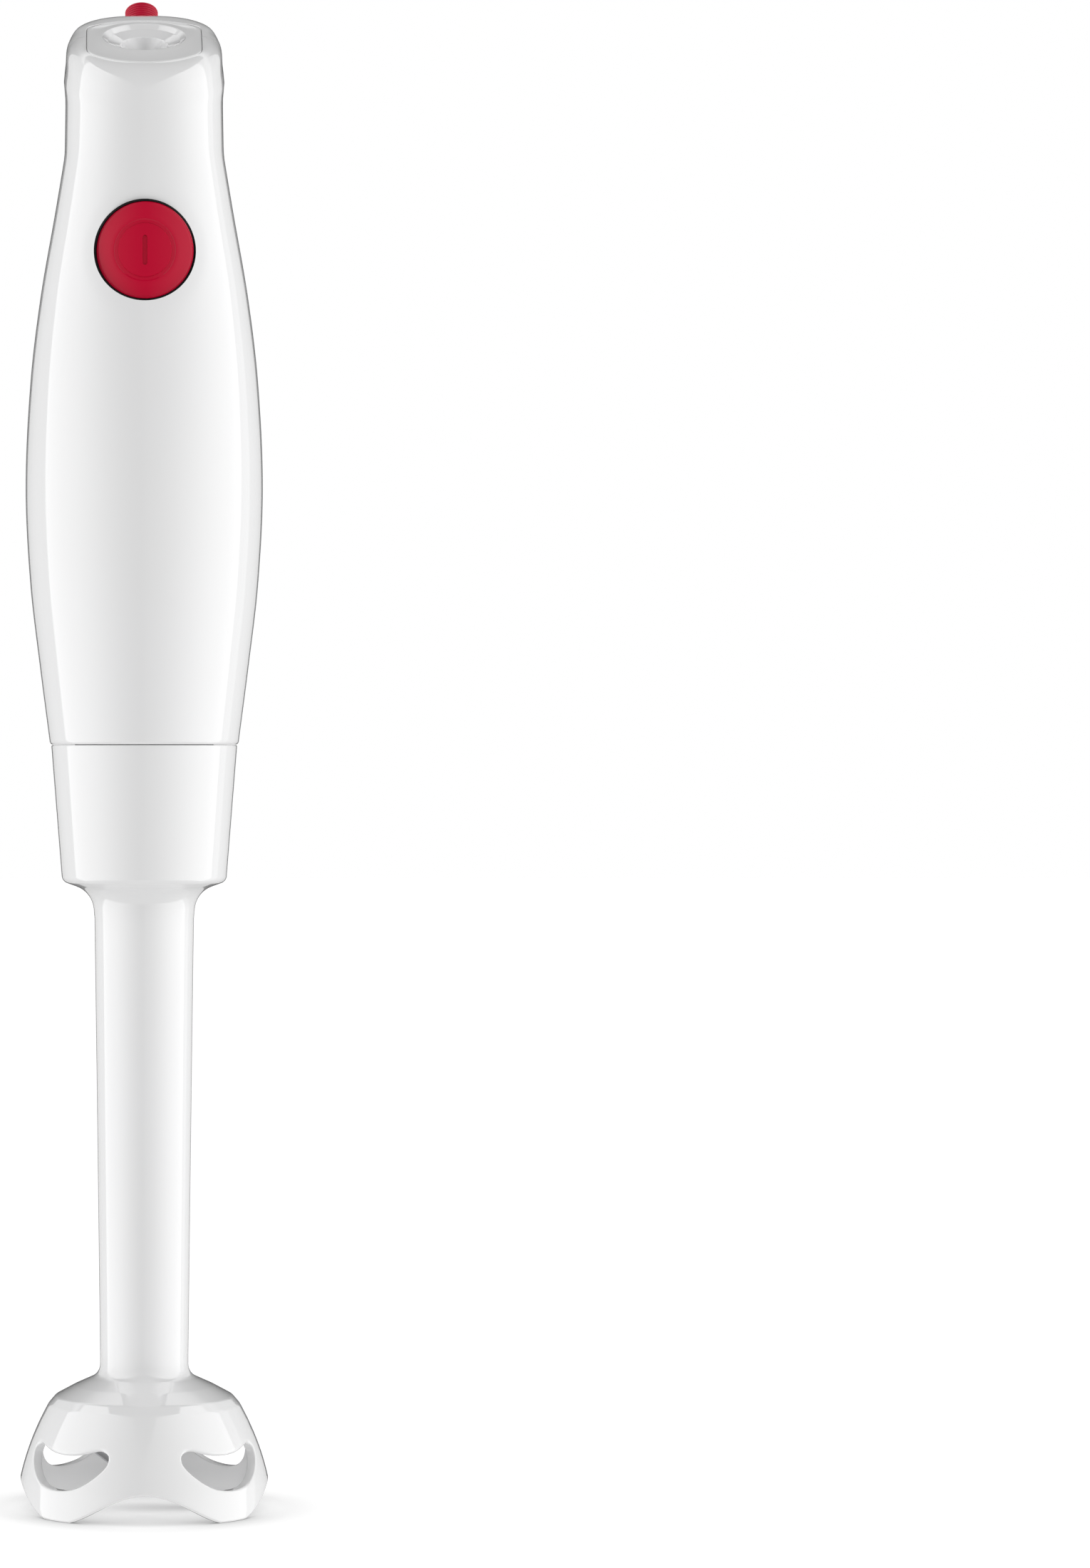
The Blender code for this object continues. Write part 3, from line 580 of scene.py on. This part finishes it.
def panel():
    """The slanted insert in the head: a soft-lipped dish with a deeper well and a fine rear ridge."""
    sides = 192
    angles = [2 * math.pi * i / sides for i in range(sides)]

    def disc(radius, drop):
        return [on_plane(a, radius, *below_panel(drop), PANEL_SLOPE) for a in angles]

    def outline(inset, drop, ridge=0.0):
        row = []
        for a in angles:
            lift = ridge * smoothstep(0.35, 0.8, math.sin(a))
            row.append(on_plane(a, panel_radius(a) - inset, *below_panel(drop - lift), PANEL_SLOPE))
        return row

    dish = rounded(((0.5, 5.6, 0), (4.8, 5.6, 0.5), (5.9, 2.1, 0.45), (9.0, 1.0, 0.6), (10.3, -0.05, 0.45),
                    (12.0, 0.0, 0)), 7)
    rows = [disc(r, d) for r, d in dish]
    for inset, ridge in ((1.6, 0.0), (1.35, 0.12), (1.1, 0.3), (0.85, 0.12), (0.6, 0.0), (0.3, 0.0)):
        rows.append(outline(PANEL_GAP + inset, 0.0, ridge))
    rows += [outline(PANEL_GAP + 0.1, 0.06), outline(PANEL_GAP, 0.2), outline(PANEL_GAP + 1.7, 2.4)]
    under = ((11.0, 2.4), (8.2, 3.6), (6.6, 6.4), (5.6, 6.9), (0.5, 6.9))
    rows += [disc(r, d) for r, d in under]
    piece = solid("head_panel", rows, WHITE)
    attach(piece, "handle")
    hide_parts("top_panel")


def gland():
    """The red ribbed bushing that leads the cord out."""
    profile = [(2.6, -0.2), (2.75, 0.0), (3.5, 0.0)]
    pitch, depth = 0.69, 0.30
    ribs = 12
    steps = 8
    for rib in range(ribs):
        for step in range(steps):
            t = step / steps
            wave = abs(math.sin(math.pi * t))
            profile.append((GLAND_R - depth + depth * wave ** 0.6, -0.12 - pitch * (rib + t)))
    profile += [(GLAND_R - 0.1, -0.2 - pitch * ribs), (GLAND_R - 0.1, -22.5), (2.6, -22.5)]
    piece = turned("cord_bushing", profile, RED_SOFT, 96, True, GLAND_TIP, GLAND_AXIS, 60.0)
    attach(piece, "handle")
    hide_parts("cord_gland")


# ---------------------------------------------------------------- power button

def follow_handle(piece, curve, turn, depth):
    """Bends a button part's front so that it follows the round handle, and tilts it to one side."""
    for vertex in piece.data.vertices:
        x, y = vertex.co.x / MM, vertex.co.y / MM
        if y < BUTTON_FRONT + depth:
            vertex.co.y += (curve * x * x + turn * x) * MM


def power_button():
    """Round push button with a ring groove, a grained centre and a bar groove, in its black guide sleeve,
    whose front ring round the cap is painted shade of the gap.
    """
    at, along = (0, BUTTON_FRONT, BUTTON_Z), (0, 1, 0)
    dome = 0.30

    def crown(r):
        return dome * (r / BUTTON_R) ** 2 + 0.05

    corners = [(0.4, crown(0.4), 0)]
    corners += [(r, crown(r), 0) for r in (1.5, 3.0, 4.5, 6.0, 6.48)]
    corners += [(6.52, crown(6.5) + 0.04, 0), (6.58, crown(6.6) + 0.30, 0), (7.35, crown(7.4) + 0.24, 0)]
    corners += [(7.62, crown(7.6) + 0.03, 0), (7.75, crown(7.7), 0)]
    corners += [(r, crown(r), 0) for r in (8.6, 9.4, 10.2, 11.0, 11.4)]
    corners += [(11.55, crown(11.5) + 0.05, 0), (11.7, crown(11.7) - 0.02, 0), (BUTTON_R, 0.55, 0.2)]
    depth = BUTTON_BACK - BUTTON_FRONT
    corners += [(BUTTON_R, 6.0, 0), (10.9, 6.0, 0), (10.9, 2.4, 0), (2.4, 2.4, 0), (2.4, depth, 0)]
    cap = turned("power_button", rounded(corners, 4), RED, 192, at=at, along=along)
    follow_handle(cap, BUTTON_CURVE, BUTTON_TURN, 3.0)
    cap.data.materials.append(RED_GRAINED)
    for face in cap.data.polygons:
        centre = face.center / MM
        inside = math.hypot(centre.x, centre.z - BUTTON_Z) < 6.5
        if inside and centre.y < BUTTON_FRONT + 2.0:
            face.material_index = 1
    ends = [math.pi * i / 12 for i in range(13)]
    loop = [(0.6 * math.cos(a), 3.05 + 0.6 * math.sin(a)) for a in ends]
    loop += [(-x, -y) for x, y in loop]
    rows = [[to_axis((x * s, y * (1 + (s - 1) * 0.2), h), at, along) for x, y in loop]
            for h, s in ((-1.0, 1.1), (0.05, 1.0), (0.5, 0.9))]
    combine(cap, solid("bar", rows, RED))
    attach(cap, "button")
    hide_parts("button_cap")
    start = GUIDE_BOX[0].y - BUTTON_FRONT
    end = GUIDE_BOX[1].y - BUTTON_FRONT
    lining = BUTTON_R + 0.06
    # The sleeve guides the cap; its black front ring, just behind the cap's front, fills the gap round the
    # cap as painted shade of that gap
    corners = ((SLEEVE_R, 0.22, 0.05), (SLEEVE_R, start, 0), (13.8, start, 0), (13.8, end, 0),
               (2.9, end, 0), (2.9, end - 1.2, 0), (lining, end - 1.2, 0), (lining, 0.22, 0.05))
    guide = turned("button_sleeve", rounded(corners, 3, True), BLACK, 192, True, at, along)
    follow_handle(guide, SLEEVE_CURVE, 0.0, 2.0)
    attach(guide, "handle")
    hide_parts("button_guide")


def return_spring():
    """The button's return spring, a little shorter than its room so that it stays behind the cap."""
    low, high = (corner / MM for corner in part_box("button_spring"))
    wire, turns, steps, sides = 0.35, 6, 24, 8
    radius = (high.x - low.x) / 2 - wire
    front = low.y + SPRING_SLACK + wire
    rise = high.y - wire - front
    rows = []
    for step in range(turns * steps + 1):
        angle = 2 * math.pi * step / steps
        along = front + rise * step / (turns * steps)
        row = []
        for side in range(sides):
            a = 2 * math.pi * side / sides
            r = radius + wire * math.cos(a)
            row.append((r * math.cos(angle), along + wire * math.sin(a), BUTTON_Z + r * math.sin(angle)))
        rows.append(row)
    piece = solid("cap_spring", rows, STEEL)
    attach(piece, "handle")
    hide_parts("button_spring")


# ---------------------------------------------------------------- neck

def neck():
    """The spigot that the foot twists on to and its seal, seen when the foot is off."""
    low, high = (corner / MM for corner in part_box("bayonet_neck"))
    corners = ((20.3, high.z, 0.3), (20.3, 190.0, 0.3), (17.2, 190.0, 0.2), (17.2, 186.2, 0.2),
               (15.8, 186.2, 0.2), (15.8, 183.4, 0.2), (17.2, 183.4, 0.2), (17.2, low.z, 0.5),
               (12.5, low.z, 0.5), (12.5, 188, 0.4), (6.4, 188, 0.3), (6.4, high.z, 0.3))
    spigot = turned("bayonet_spigot", rounded(corners, 4, True), WHITE, 144, True)
    for side in (0, math.pi):
        angles = [side + math.radians(-9 + 18 * i / 10) for i in range(11)]
        loop = [(18.2 * math.cos(a), 18.2 * math.sin(a)) for a in angles]
        loop += [(16.5 * math.cos(a), 16.5 * math.sin(a)) for a in reversed(angles)]
        lug = solid("lug", [[(x, y, z) for x, y in loop] for z in (174.5, 177.5)], WHITE)
        combine(spigot, lug, "UNION")
    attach(spigot, "handle")
    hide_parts("bayonet_neck")
    low, high = (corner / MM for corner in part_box("neck_seal"))
    bead = (high.z - low.z) / 2
    middle = (high.x - bead, (high.z + low.z) / 2)
    turns = [2 * math.pi * i / 20 for i in range(20)]
    profile = [(middle[0] + bead * math.cos(a), middle[1] + bead * math.sin(a)) for a in turns]
    seal = turned("seal_ring", profile, RUBBER, 144, True)
    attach(seal, "seal")
    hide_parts("neck_seal")


# ---------------------------------------------------------------- foot

def arch(turn):
    """Height of the bell's lower edge at an angle from a lobe's middle."""
    wave = 1 - math.cos(LOBES * turn)
    return max(0.0, wave * (ARCH_HEIGHT + 0.6) / 2 - 0.6)


def skirt_radius(z):
    """Outer radius of the bell's skirt."""
    up = max(z - ARCH_HEIGHT, 0.0)
    return BELL_LIP_R - 0.205 * up - 0.0094 * up ** 2 + 0.03 * max(ARCH_HEIGHT - z, 0)


def window_outline():
    """The bean-shaped window as a closed curve of (angle in degrees, height), densely sampled."""
    half = [(0, 16.95), (8, 17.2), (14, 17.8), (20, 18.5), (24, 18.35), (26.8, 17.2), (27.7, 15.6),
            (26.6, 13.8), (23, 11.8), (18, 9.8), (12, 8.1), (6, 7.3), (0, 7.05)]
    loop = half + [(-d, z) for d, z in reversed(half[1:-1])]
    count = len(loop)
    dense = []
    for i in range(count):
        p0, p1, p2, p3 = (Vector(loop[(i + k) % count]) for k in (-1, 0, 1, 2))
        for step in range(24):
            t = step / 24
            dense.append(0.5 * (2 * p1 + (p2 - p0) * t + (2 * p0 - 5 * p1 + 4 * p2 - p3) * t ** 2
                                + (3 * p1 - p0 - 3 * p2 + p3) * t ** 3))
    return dense


def sector_map():
    """Pairs of flat points (arc, height) in millimetres: on the window's edge, and on the sector's border."""
    arc = math.radians(1) * 28.5
    half = 180 / LOBES
    low_side = arch(math.radians(half))
    border = []
    for i in range(SECTOR_COLUMNS):
        border.append((-half + 2 * half * i / SECTOR_COLUMNS, SKIRT_TOP))
    for i in range(SECTOR_SIDE):
        border.append((half, SKIRT_TOP + (low_side - SKIRT_TOP) * i / SECTOR_SIDE))
    for i in range(SECTOR_COLUMNS):
        turn = half - 2 * half * i / SECTOR_COLUMNS
        border.append((turn, arch(math.radians(turn))))
    for i in range(SECTOR_SIDE):
        border.append((-half, low_side + (SKIRT_TOP - low_side) * i / SECTOR_SIDE))
    centre = Vector((0, 12.6))
    stretch = 0.62
    edge = [Vector((p.x * arc, p.y)) for p in window_outline()]
    polar = [(math.atan2(p.y - centre.y, (p.x - centre.x) * stretch), p) for p in edge]
    polar.sort(key=lambda item: item[0])
    pairs = []
    for turn, z in border:
        q = Vector((turn * arc, z))
        angle = math.atan2(q.y - centre.y, (q.x - centre.x) * stretch)
        k = next((k for k, item in enumerate(polar) if item[0] >= angle), 0)
        a0, p0 = polar[k - 1]
        a1, p1 = polar[k]
        width = (a1 - a0) % (2 * math.pi)
        share = ((angle - a0) % (2 * math.pi)) / width if width > 1e-9 else 0.0
        pairs.append((p0.lerp(p1, min(share, 1.0)), q))
    return pairs, arc


def outward(points):
    """Unit normals of a closed flat outline, pointing away from its inside."""
    normals = []
    count = len(points)
    for i in range(count):
        along = points[(i + 2) % count] - points[i - 2]
        normal = Vector((-along.y, along.x)).normalized()
        normals.append(normal)
    return normals


def bell_sectors():
    """Points and faces of the four windowed sectors of the skirt, both faces and all edges."""
    pairs, arc = sector_map()
    count = len(pairs)
    normals = outward([p for p, _ in pairs])
    rows = []
    for layer in ("outer", "inner"):
        part = []
        for step in range(LIP_STEPS + 1):
            a = math.pi / 2 * step / LIP_STEPS
            row = []
            for (p, q), normal in zip(pairs, normals):
                lip = LIP_ROUND + LIP_TOP_EXTRA * smoothstep(0.3, 0.9, normal.y)
                small = 0.35
                if layer == "outer":
                    row.append((p - normal * lip * math.cos(a), lip * (1 - math.sin(a))))
                else:
                    inner = p - normal * (lip - small + small * math.cos(a))
                    row.append((inner, SKIRT_WALL - small * (1 - math.sin(a))))
            part.append(row)
        for t in (0.08, 0.2, 0.36, 0.56, 0.78, 1.0):
            row = []
            for (p, q), normal in zip(pairs, normals):
                lip = LIP_ROUND + LIP_TOP_EXTRA * smoothstep(0.3, 0.9, normal.y)
                start = p if layer == "outer" else p - normal * (lip - 0.35)
                row.append((start.lerp(q, t), 0.0 if layer == "outer" else SKIRT_WALL))
            part.append(row)
        rows += part[::-1] if layer == "outer" else part
    verts, faces = [], []
    for lobe in range(LOBES):
        middle = 2 * math.pi / LOBES * (lobe + 0.5)
        start = len(verts)
        for row in rows:
            for flat, depth in row:
                turn = flat.x / arc * math.radians(1)
                edge = arch(turn)
                lift = EDGE_ROUND * (1 - smoothstep(edge, edge + 2.5, flat.y))
                z = flat.y + lift
                radius = skirt_radius(z) - depth
                angle = middle + turn
                verts.append((radius * math.cos(angle), radius * math.sin(angle), z))
        faces += grid_faces(len(rows), count, start)
    return verts, faces


def bell_edge():
    """The rounded lower edge of the skirt, between its outer and inner face."""
    columns = LOBES * SECTOR_COLUMNS
    steps = 8
    rows = []
    for side in (0, 1):
        for step in range(steps + 1):
            a = math.pi / 2 * (step / steps + side)
            row = []
            for i in range(columns):
                angle = 2 * math.pi * i / columns
                low = arch(angle - math.pi / LOBES)
                z = low + EDGE_ROUND * (1 - math.sin(a))
                inwards = EDGE_ROUND * (1 - math.cos(a))
                if side:
                    inwards += SKIRT_WALL - 2 * EDGE_ROUND
                radius = skirt_radius(low + EDGE_ROUND) - inwards
                row.append((radius * math.cos(angle), radius * math.sin(angle), z))
            rows.append(row)
    return rows, columns


def foot():
    """Collar, tube and bell as one moulding, with rounded window lips and lower edge, and painted shade on
    the bell's inside.
    """
    corners = ((23.05, COLLAR_TOP, 0.35), (20.35, 155.3, 2.0), (12.9, 152.6, 6.5), (12.3, 146.0, 0),
               (11.8, 108.7, 0), (11.36, 73.4, 0), (10.93, 38.0, 0), (10.92, 33.4, 3.6), (17.3, 30.5, 12.0),
               (22.0, 27.95, 2.2), (23.75, 25.9, 4.0), (24.75, 24.0, 0),
               (skirt_radius(SKIRT_TOP), SKIRT_TOP, 0))
    outer = rounded(((18.9, COLLAR_TOP, 0),) + corners, 8)
    inner = rounded(((18.9, COLLAR_TOP, 0), (18.6, COLLAR_TOP - 0.4, 0), (18.6, 160.0, 1.0), (17.0, 158.0, 0),
                     (8.8, 156.6, 0), (8.8, 41.0, 0), (6.2, 39.0, 0), (6.2, 23.4, 0.3), (8.4, 23.4, 0.4),
                     (8.6, 29.4, 0.6), (11.0, 30.3, 0.5), (20.4, 26.2, 2.0), (22.2, 23.8, 0),
                     (skirt_radius(SKIRT_TOP) - SKIRT_WALL, SKIRT_TOP, 0)), 5)
    columns = LOBES * SECTOR_COLUMNS
    verts, faces = bell_sectors()
    for profile in (outer, inner):
        rows = [circle(r, z, columns) for r, z in profile]
        faces += grid_faces(len(rows), columns, len(verts))
        verts += [p for row in rows for p in row]
    rows, columns = bell_edge()
    faces += grid_faces(len(rows), columns, len(verts))
    verts += [p for row in rows for p in row]
    piece = new_object("foot_moulding", verts, faces, WHITE, 40.0, 0.004)
    # Faces inside the skirt take the darker copy of the white: painted shade inside the bell
    piece.data.materials.append(WHITE_PAINTED_SHADE)
    for face in piece.data.polygons:
        centre = face.center
        facing = centre.x * face.normal.x + centre.y * face.normal.y
        if centre.z < SKIRT_TOP * MM and facing < -0.5 * math.hypot(centre.x, centre.y):
            face.material_index = 1
    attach(piece, "foot")
    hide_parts("foot_shell")


def bell_fittings():
    """The washer under the shaft's seal, seen from below. The seal and the bushes keep their CAD shape."""
    low, high = (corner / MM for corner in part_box("seal_retainer"))
    corners = ((high.x, high.z, 0.2), (high.x, low.z, 0.2), (3.7, low.z, 0.2), (3.7, high.z, 0.2))
    washer = turned("seal_washer", rounded(corners, 4, True), STEEL, 96, True)
    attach(washer, "foot")
    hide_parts("seal_retainer")


# ---------------------------------------------------------------- blade

def blade():
    """The bent two-wing blade with ground edges, on its hub, with a nut below."""
    low, high = (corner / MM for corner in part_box("blade"))
    flat_z = 10.6
    slope = math.tan(math.radians(37))
    path = [(low.x, flat_z + 12.5 * slope, 1.2), (low.x + 0.6, flat_z + 11.9 * slope, 2.4),
            (-17.5, flat_z + 10.5 * slope, 3.3), (-12.0, flat_z + 5.0 * slope, 4.0),
            (-7.6, flat_z + 0.6 * slope, 4.5), (-6.9, flat_z + 0.1, 4.6), (-6.2, flat_z, 4.7),
            (-3.0, flat_z, 5.6), (0.0, flat_z, 6.0), (3.0, flat_z, 5.6),
            (5.4, flat_z, 4.7), (6.0, flat_z - 0.1, 4.6), (6.7, flat_z - 0.7, 4.4), (10.0, flat_z - 4.0, 3.9),
            (13.2, flat_z - 7.2, 3.2), (high.x, flat_z - 8.0, 1.6)]
    rows = []
    thick = 0.42
    for i, (x, z, half) in enumerate(path):
        ahead = Vector(path[min(i + 1, len(path) - 1)][:2]) - Vector(path[max(i - 1, 0)][:2])
        normal = Vector((-ahead.y, ahead.x)).normalized()
        ground = 1.6 if abs(x) > 7.0 else 0.5
        loop = []
        for across, up in ((-half, 0.06), (-half + ground, thick), (half - ground, thick), (half, 0.06),
                           (half, -0.06), (half - 0.4, -thick), (-half + 0.4, -thick), (-half, -0.06)):
            loop.append((x + normal.x * up, across, z + normal.y * up))
        rows.append(loop)
    wings = solid("bent_blade", rows, STEEL, smooth=20.0)
    combine(wings, turned("hole", ((3.3, 5), (3.3, 16)), STEEL, 64))
    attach(wings, "blade")
    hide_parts("blade")
    low, high = (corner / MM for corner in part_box("blade_nut"))
    sides = 96
    flats = [4.4 / math.cos((2 * math.pi * i / sides) % (math.pi / 3) - math.pi / 6) for i in range(sides)]
    rows = []
    for share, z in ((0.93, high.z), (1.0, high.z - 0.35), (1.0, low.z + 0.35), (0.93, low.z)):
        rows.append([(x * r * share, y * r * share, z) for (x, y, _), r in zip(circle(1.0, 0, sides), flats)])
    rows += [circle(3.4, low.z, sides), circle(3.3, low.z + 0.2, sides), circle(3.3, high.z, sides)]
    nut = solid("hexagon_nut", rows, STEEL, hollow=True)
    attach(nut, "blade")
    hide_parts("blade_nut")
    low, high = (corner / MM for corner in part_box("blade_hub"))
    corners = ((6.4, high.z, 0.4), (6.4, low.z + 1.2, 0.6), (5.6, low.z, 0.3), (3.3, low.z, 0.2),
               (3.3, high.z, 0.2))
    hub = turned("hub_sleeve", rounded(corners, 4, True), GREY, 96, True)
    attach(hub, "blade")
    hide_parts("blade_hub")
    low, high = (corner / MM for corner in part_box("blade_shaft"))
    corners = ((0.2, low.z, 0), (3.0, low.z, 0.5), (3.0, high.z, 0.5), (0.2, high.z, 0))
    shaft = turned("drive_shaft", rounded(corners, 4), STEEL, 64)
    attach(shaft, "blade")
    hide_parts("blade_shaft")


# ---------------------------------------------------------------- stage, light and camera

# Radiance of the studio round the object, by horizontal angle from the camera in degrees. Each side rises
# from its front level to its panel's level, as a power of a sine, and then steps down: (angle, new level).
PANEL_RISE = 78
RISE_STEP = 6
STEP_WIDTH = 1.2
LEFT_SIDE = {"front": 0.21, "panel": 1.78, "power": 1.7, "steps": ((111.5, 0.60),)}
RIGHT_SIDE = {"front": 0.41, "panel": 1.83, "power": 1.45, "steps": ((107.8, 0.93), (123.4, 0.60))}
PANEL_MAX = 3.0
PANEL_TOP = 0.60
PANEL_BOTTOM = 0.63
PANEL_SOFTNESS = 0.015
GROUND_LEVEL = 0.74
# The top between the side panels is dimmer: above z = 1.77 |x| - 0.6 y
TOP_EDGE = (1.77, -0.6)
TOP_LEVEL = 0.10
# A soft box above and behind: depth over height where it starts, where it fades, where it ends
BOX_LEVEL = 1.1
BOX_SLOPES = (0.48, 0.58, 1.05)
REAR_LEVEL = 0.17


def side_levels(front, panel, power, steps):
    """One side of the studio as (degrees, level) from the front to the rear."""
    stops = []
    for degrees in range(0, PANEL_RISE + 1, RISE_STEP):
        share = math.sin(math.pi / 2 * degrees / PANEL_RISE) ** power
        stops.append((degrees, front + (panel - front) * share))
    level = panel
    for degrees, new_level in steps:
        stops += [(degrees, level), (degrees + STEP_WIDTH, new_level)]
        level = new_level
    return stops


def studio_world():
    """A white studio: broad panels to the left and right, dimmer in front, above and behind."""
    world = bpy.data.worlds.new("studio")
    world.use_nodes = True
    tree = world.node_tree
    tree.nodes.clear()
    link = tree.links.new

    def math_node(operation, a, b=None):
        node = tree.nodes.new("ShaderNodeMath")
        node.operation = operation
        for socket, value in zip(node.inputs, (a, b)):
            if value is None:
                continue
            if isinstance(value, (int, float)):
                socket.default_value = value
            else:
                link(value, socket)
        return node.outputs[0]

    def mix(share, first, second):
        return math_node("ADD", math_node("MULTIPLY", share, math_node("SUBTRACT", second, first)), first)

    def edge(value, softness):
        return math_node("MINIMUM", math_node("MAXIMUM", math_node("DIVIDE", value, softness), 0.0), 1.0)

    coords = tree.nodes.new("ShaderNodeTexCoord")
    parts = tree.nodes.new("ShaderNodeSeparateXYZ")
    link(coords.outputs["Generated"], parts.inputs[0])
    x, y, z = parts.outputs
    forward = math_node("MULTIPLY", y, -1.0)
    turn = math_node("DIVIDE", math_node("ARCTAN2", x, forward), math.pi)

    def ramp(value, stops):
        node = tree.nodes.new("ShaderNodeValToRGB")
        elements = node.color_ramp.elements
        while len(elements) > 1:
            elements.remove(elements[-1])
        elements[0].position = stops[0][0] / 180
        elements[0].color = (*[stops[0][1] / PANEL_MAX] * 3, 1)
        for degrees, level in stops[1:]:
            element = elements.new(degrees / 180)
            element.color = (*[level / PANEL_MAX] * 3, 1)
        link(value, node.inputs[0])
        return node.outputs[0]

    left = ramp(math_node("MULTIPLY", turn, -1.0), side_levels(**LEFT_SIDE))
    right = ramp(turn, side_levels(**RIGHT_SIDE))
    panels = mix(math_node("GREATER_THAN", turn, 0.0), left, right)
    sides = math_node("MULTIPLY", panels, PANEL_MAX)
    width = math_node("MULTIPLY", math_node("ABSOLUTE", x), TOP_EDGE[0])
    depth = math_node("MULTIPLY", y, TOP_EDGE[1])
    beyond = math_node("SUBTRACT", z, math_node("ADD", width, depth))
    open_top = mix(edge(beyond, PANEL_SOFTNESS), sides, TOP_LEVEL)
    slope = math_node("DIVIDE", y, math_node("MAXIMUM", z, 0.001))
    fade = edge(math_node("SUBTRACT", slope, BOX_SLOPES[1]), BOX_SLOPES[2] - BOX_SLOPES[1])
    box = mix(fade, BOX_LEVEL, REAR_LEVEL)
    high = edge(math_node("SUBTRACT", z, PANEL_TOP), PANEL_SOFTNESS)
    in_box = math_node("MULTIPLY", high, edge(math_node("SUBTRACT", slope, BOX_SLOPES[0]), PANEL_SOFTNESS))
    upper = mix(in_box, open_top, box)
    low = edge(math_node("SUBTRACT", -PANEL_BOTTOM, z), PANEL_SOFTNESS)
    lit = mix(low, upper, GROUND_LEVEL)
    seen = tree.nodes.new("ShaderNodeLightPath").outputs["Is Camera Ray"]
    strength = mix(seen, lit, 1.0)
    background = tree.nodes.new("ShaderNodeBackground")
    background.inputs["Color"].default_value = (1, 1, 1, 1)
    output = tree.nodes.new("ShaderNodeOutputWorld")
    link(strength, background.inputs["Strength"])
    link(background.outputs[0], output.inputs[0])
    bpy.context.scene.world = world


# How far above the floor a surface still darkens it, in metres
CONTACT_REACH = 0.020
FLOOR_GLOW = 0.88
FLOOR_HALF = 6000.0


def floor():
    """A plain white floor whose own glow is dimmed close to the object, as a soft contact shadow."""
    n = Nodes("stage_white")
    greys = n.colours(n.noise(0.8, 2.0), (0.26, 0.26, 0.26), (0.25, 0.25, 0.25))
    n.link(greys, n.shader.inputs["Base Color"])
    n.shader.inputs["Roughness"].default_value = 1.0
    n.shader.inputs["Specular IOR Level"].default_value = 0.0
    openness = n.add("ShaderNodeAmbientOcclusion", Distance=CONTACT_REACH)
    openness.samples = 16
    n.link(openness.outputs["AO"], n.shader.inputs["Emission Color"])
    n.shader.inputs["Emission Strength"].default_value = FLOOR_GLOW
    half = FLOOR_HALF
    verts = [(-half, -half, 0), (half, -half, 0), (half, half, 0), (-half, half, 0)]
    plane = new_object("stage_floor", verts, [(0, 1, 2, 3)], n.material)
    plane.visible_glossy = False
    plane.visible_diffuse = False
    plane.visible_shadow = False


# The camera's place in metres, its lens in millimetres, and its shift as a share of the frame's height
CAMERA_PLACE = (-0.0087, -1.2, 0.187)
SENSOR = 36.0
LENS = 111.109
SHIFT = (0.27809, -0.019545)


def camera():
    """A level camera straight in front, with the object left of the middle."""
    data = bpy.data.cameras.new("camera")
    data.sensor_width = SENSOR
    data.lens = LENS
    data.shift_x, data.shift_y = SHIFT
    data.clip_end = 50.0
    obj = bpy.data.objects.new("camera", data)
    obj.location = CAMERA_PLACE
    obj.rotation_euler = (math.pi / 2, 0, 0)
    bpy.context.collection.objects.link(obj)
    bpy.context.scene.camera = obj
    bpy.context.scene.view_settings.view_transform = "Standard"


dress_frame()
handle()
panel()
gland()
power_button()
return_spring()
neck()
foot()
bell_fittings()
blade()
studio_world()
floor()
camera()
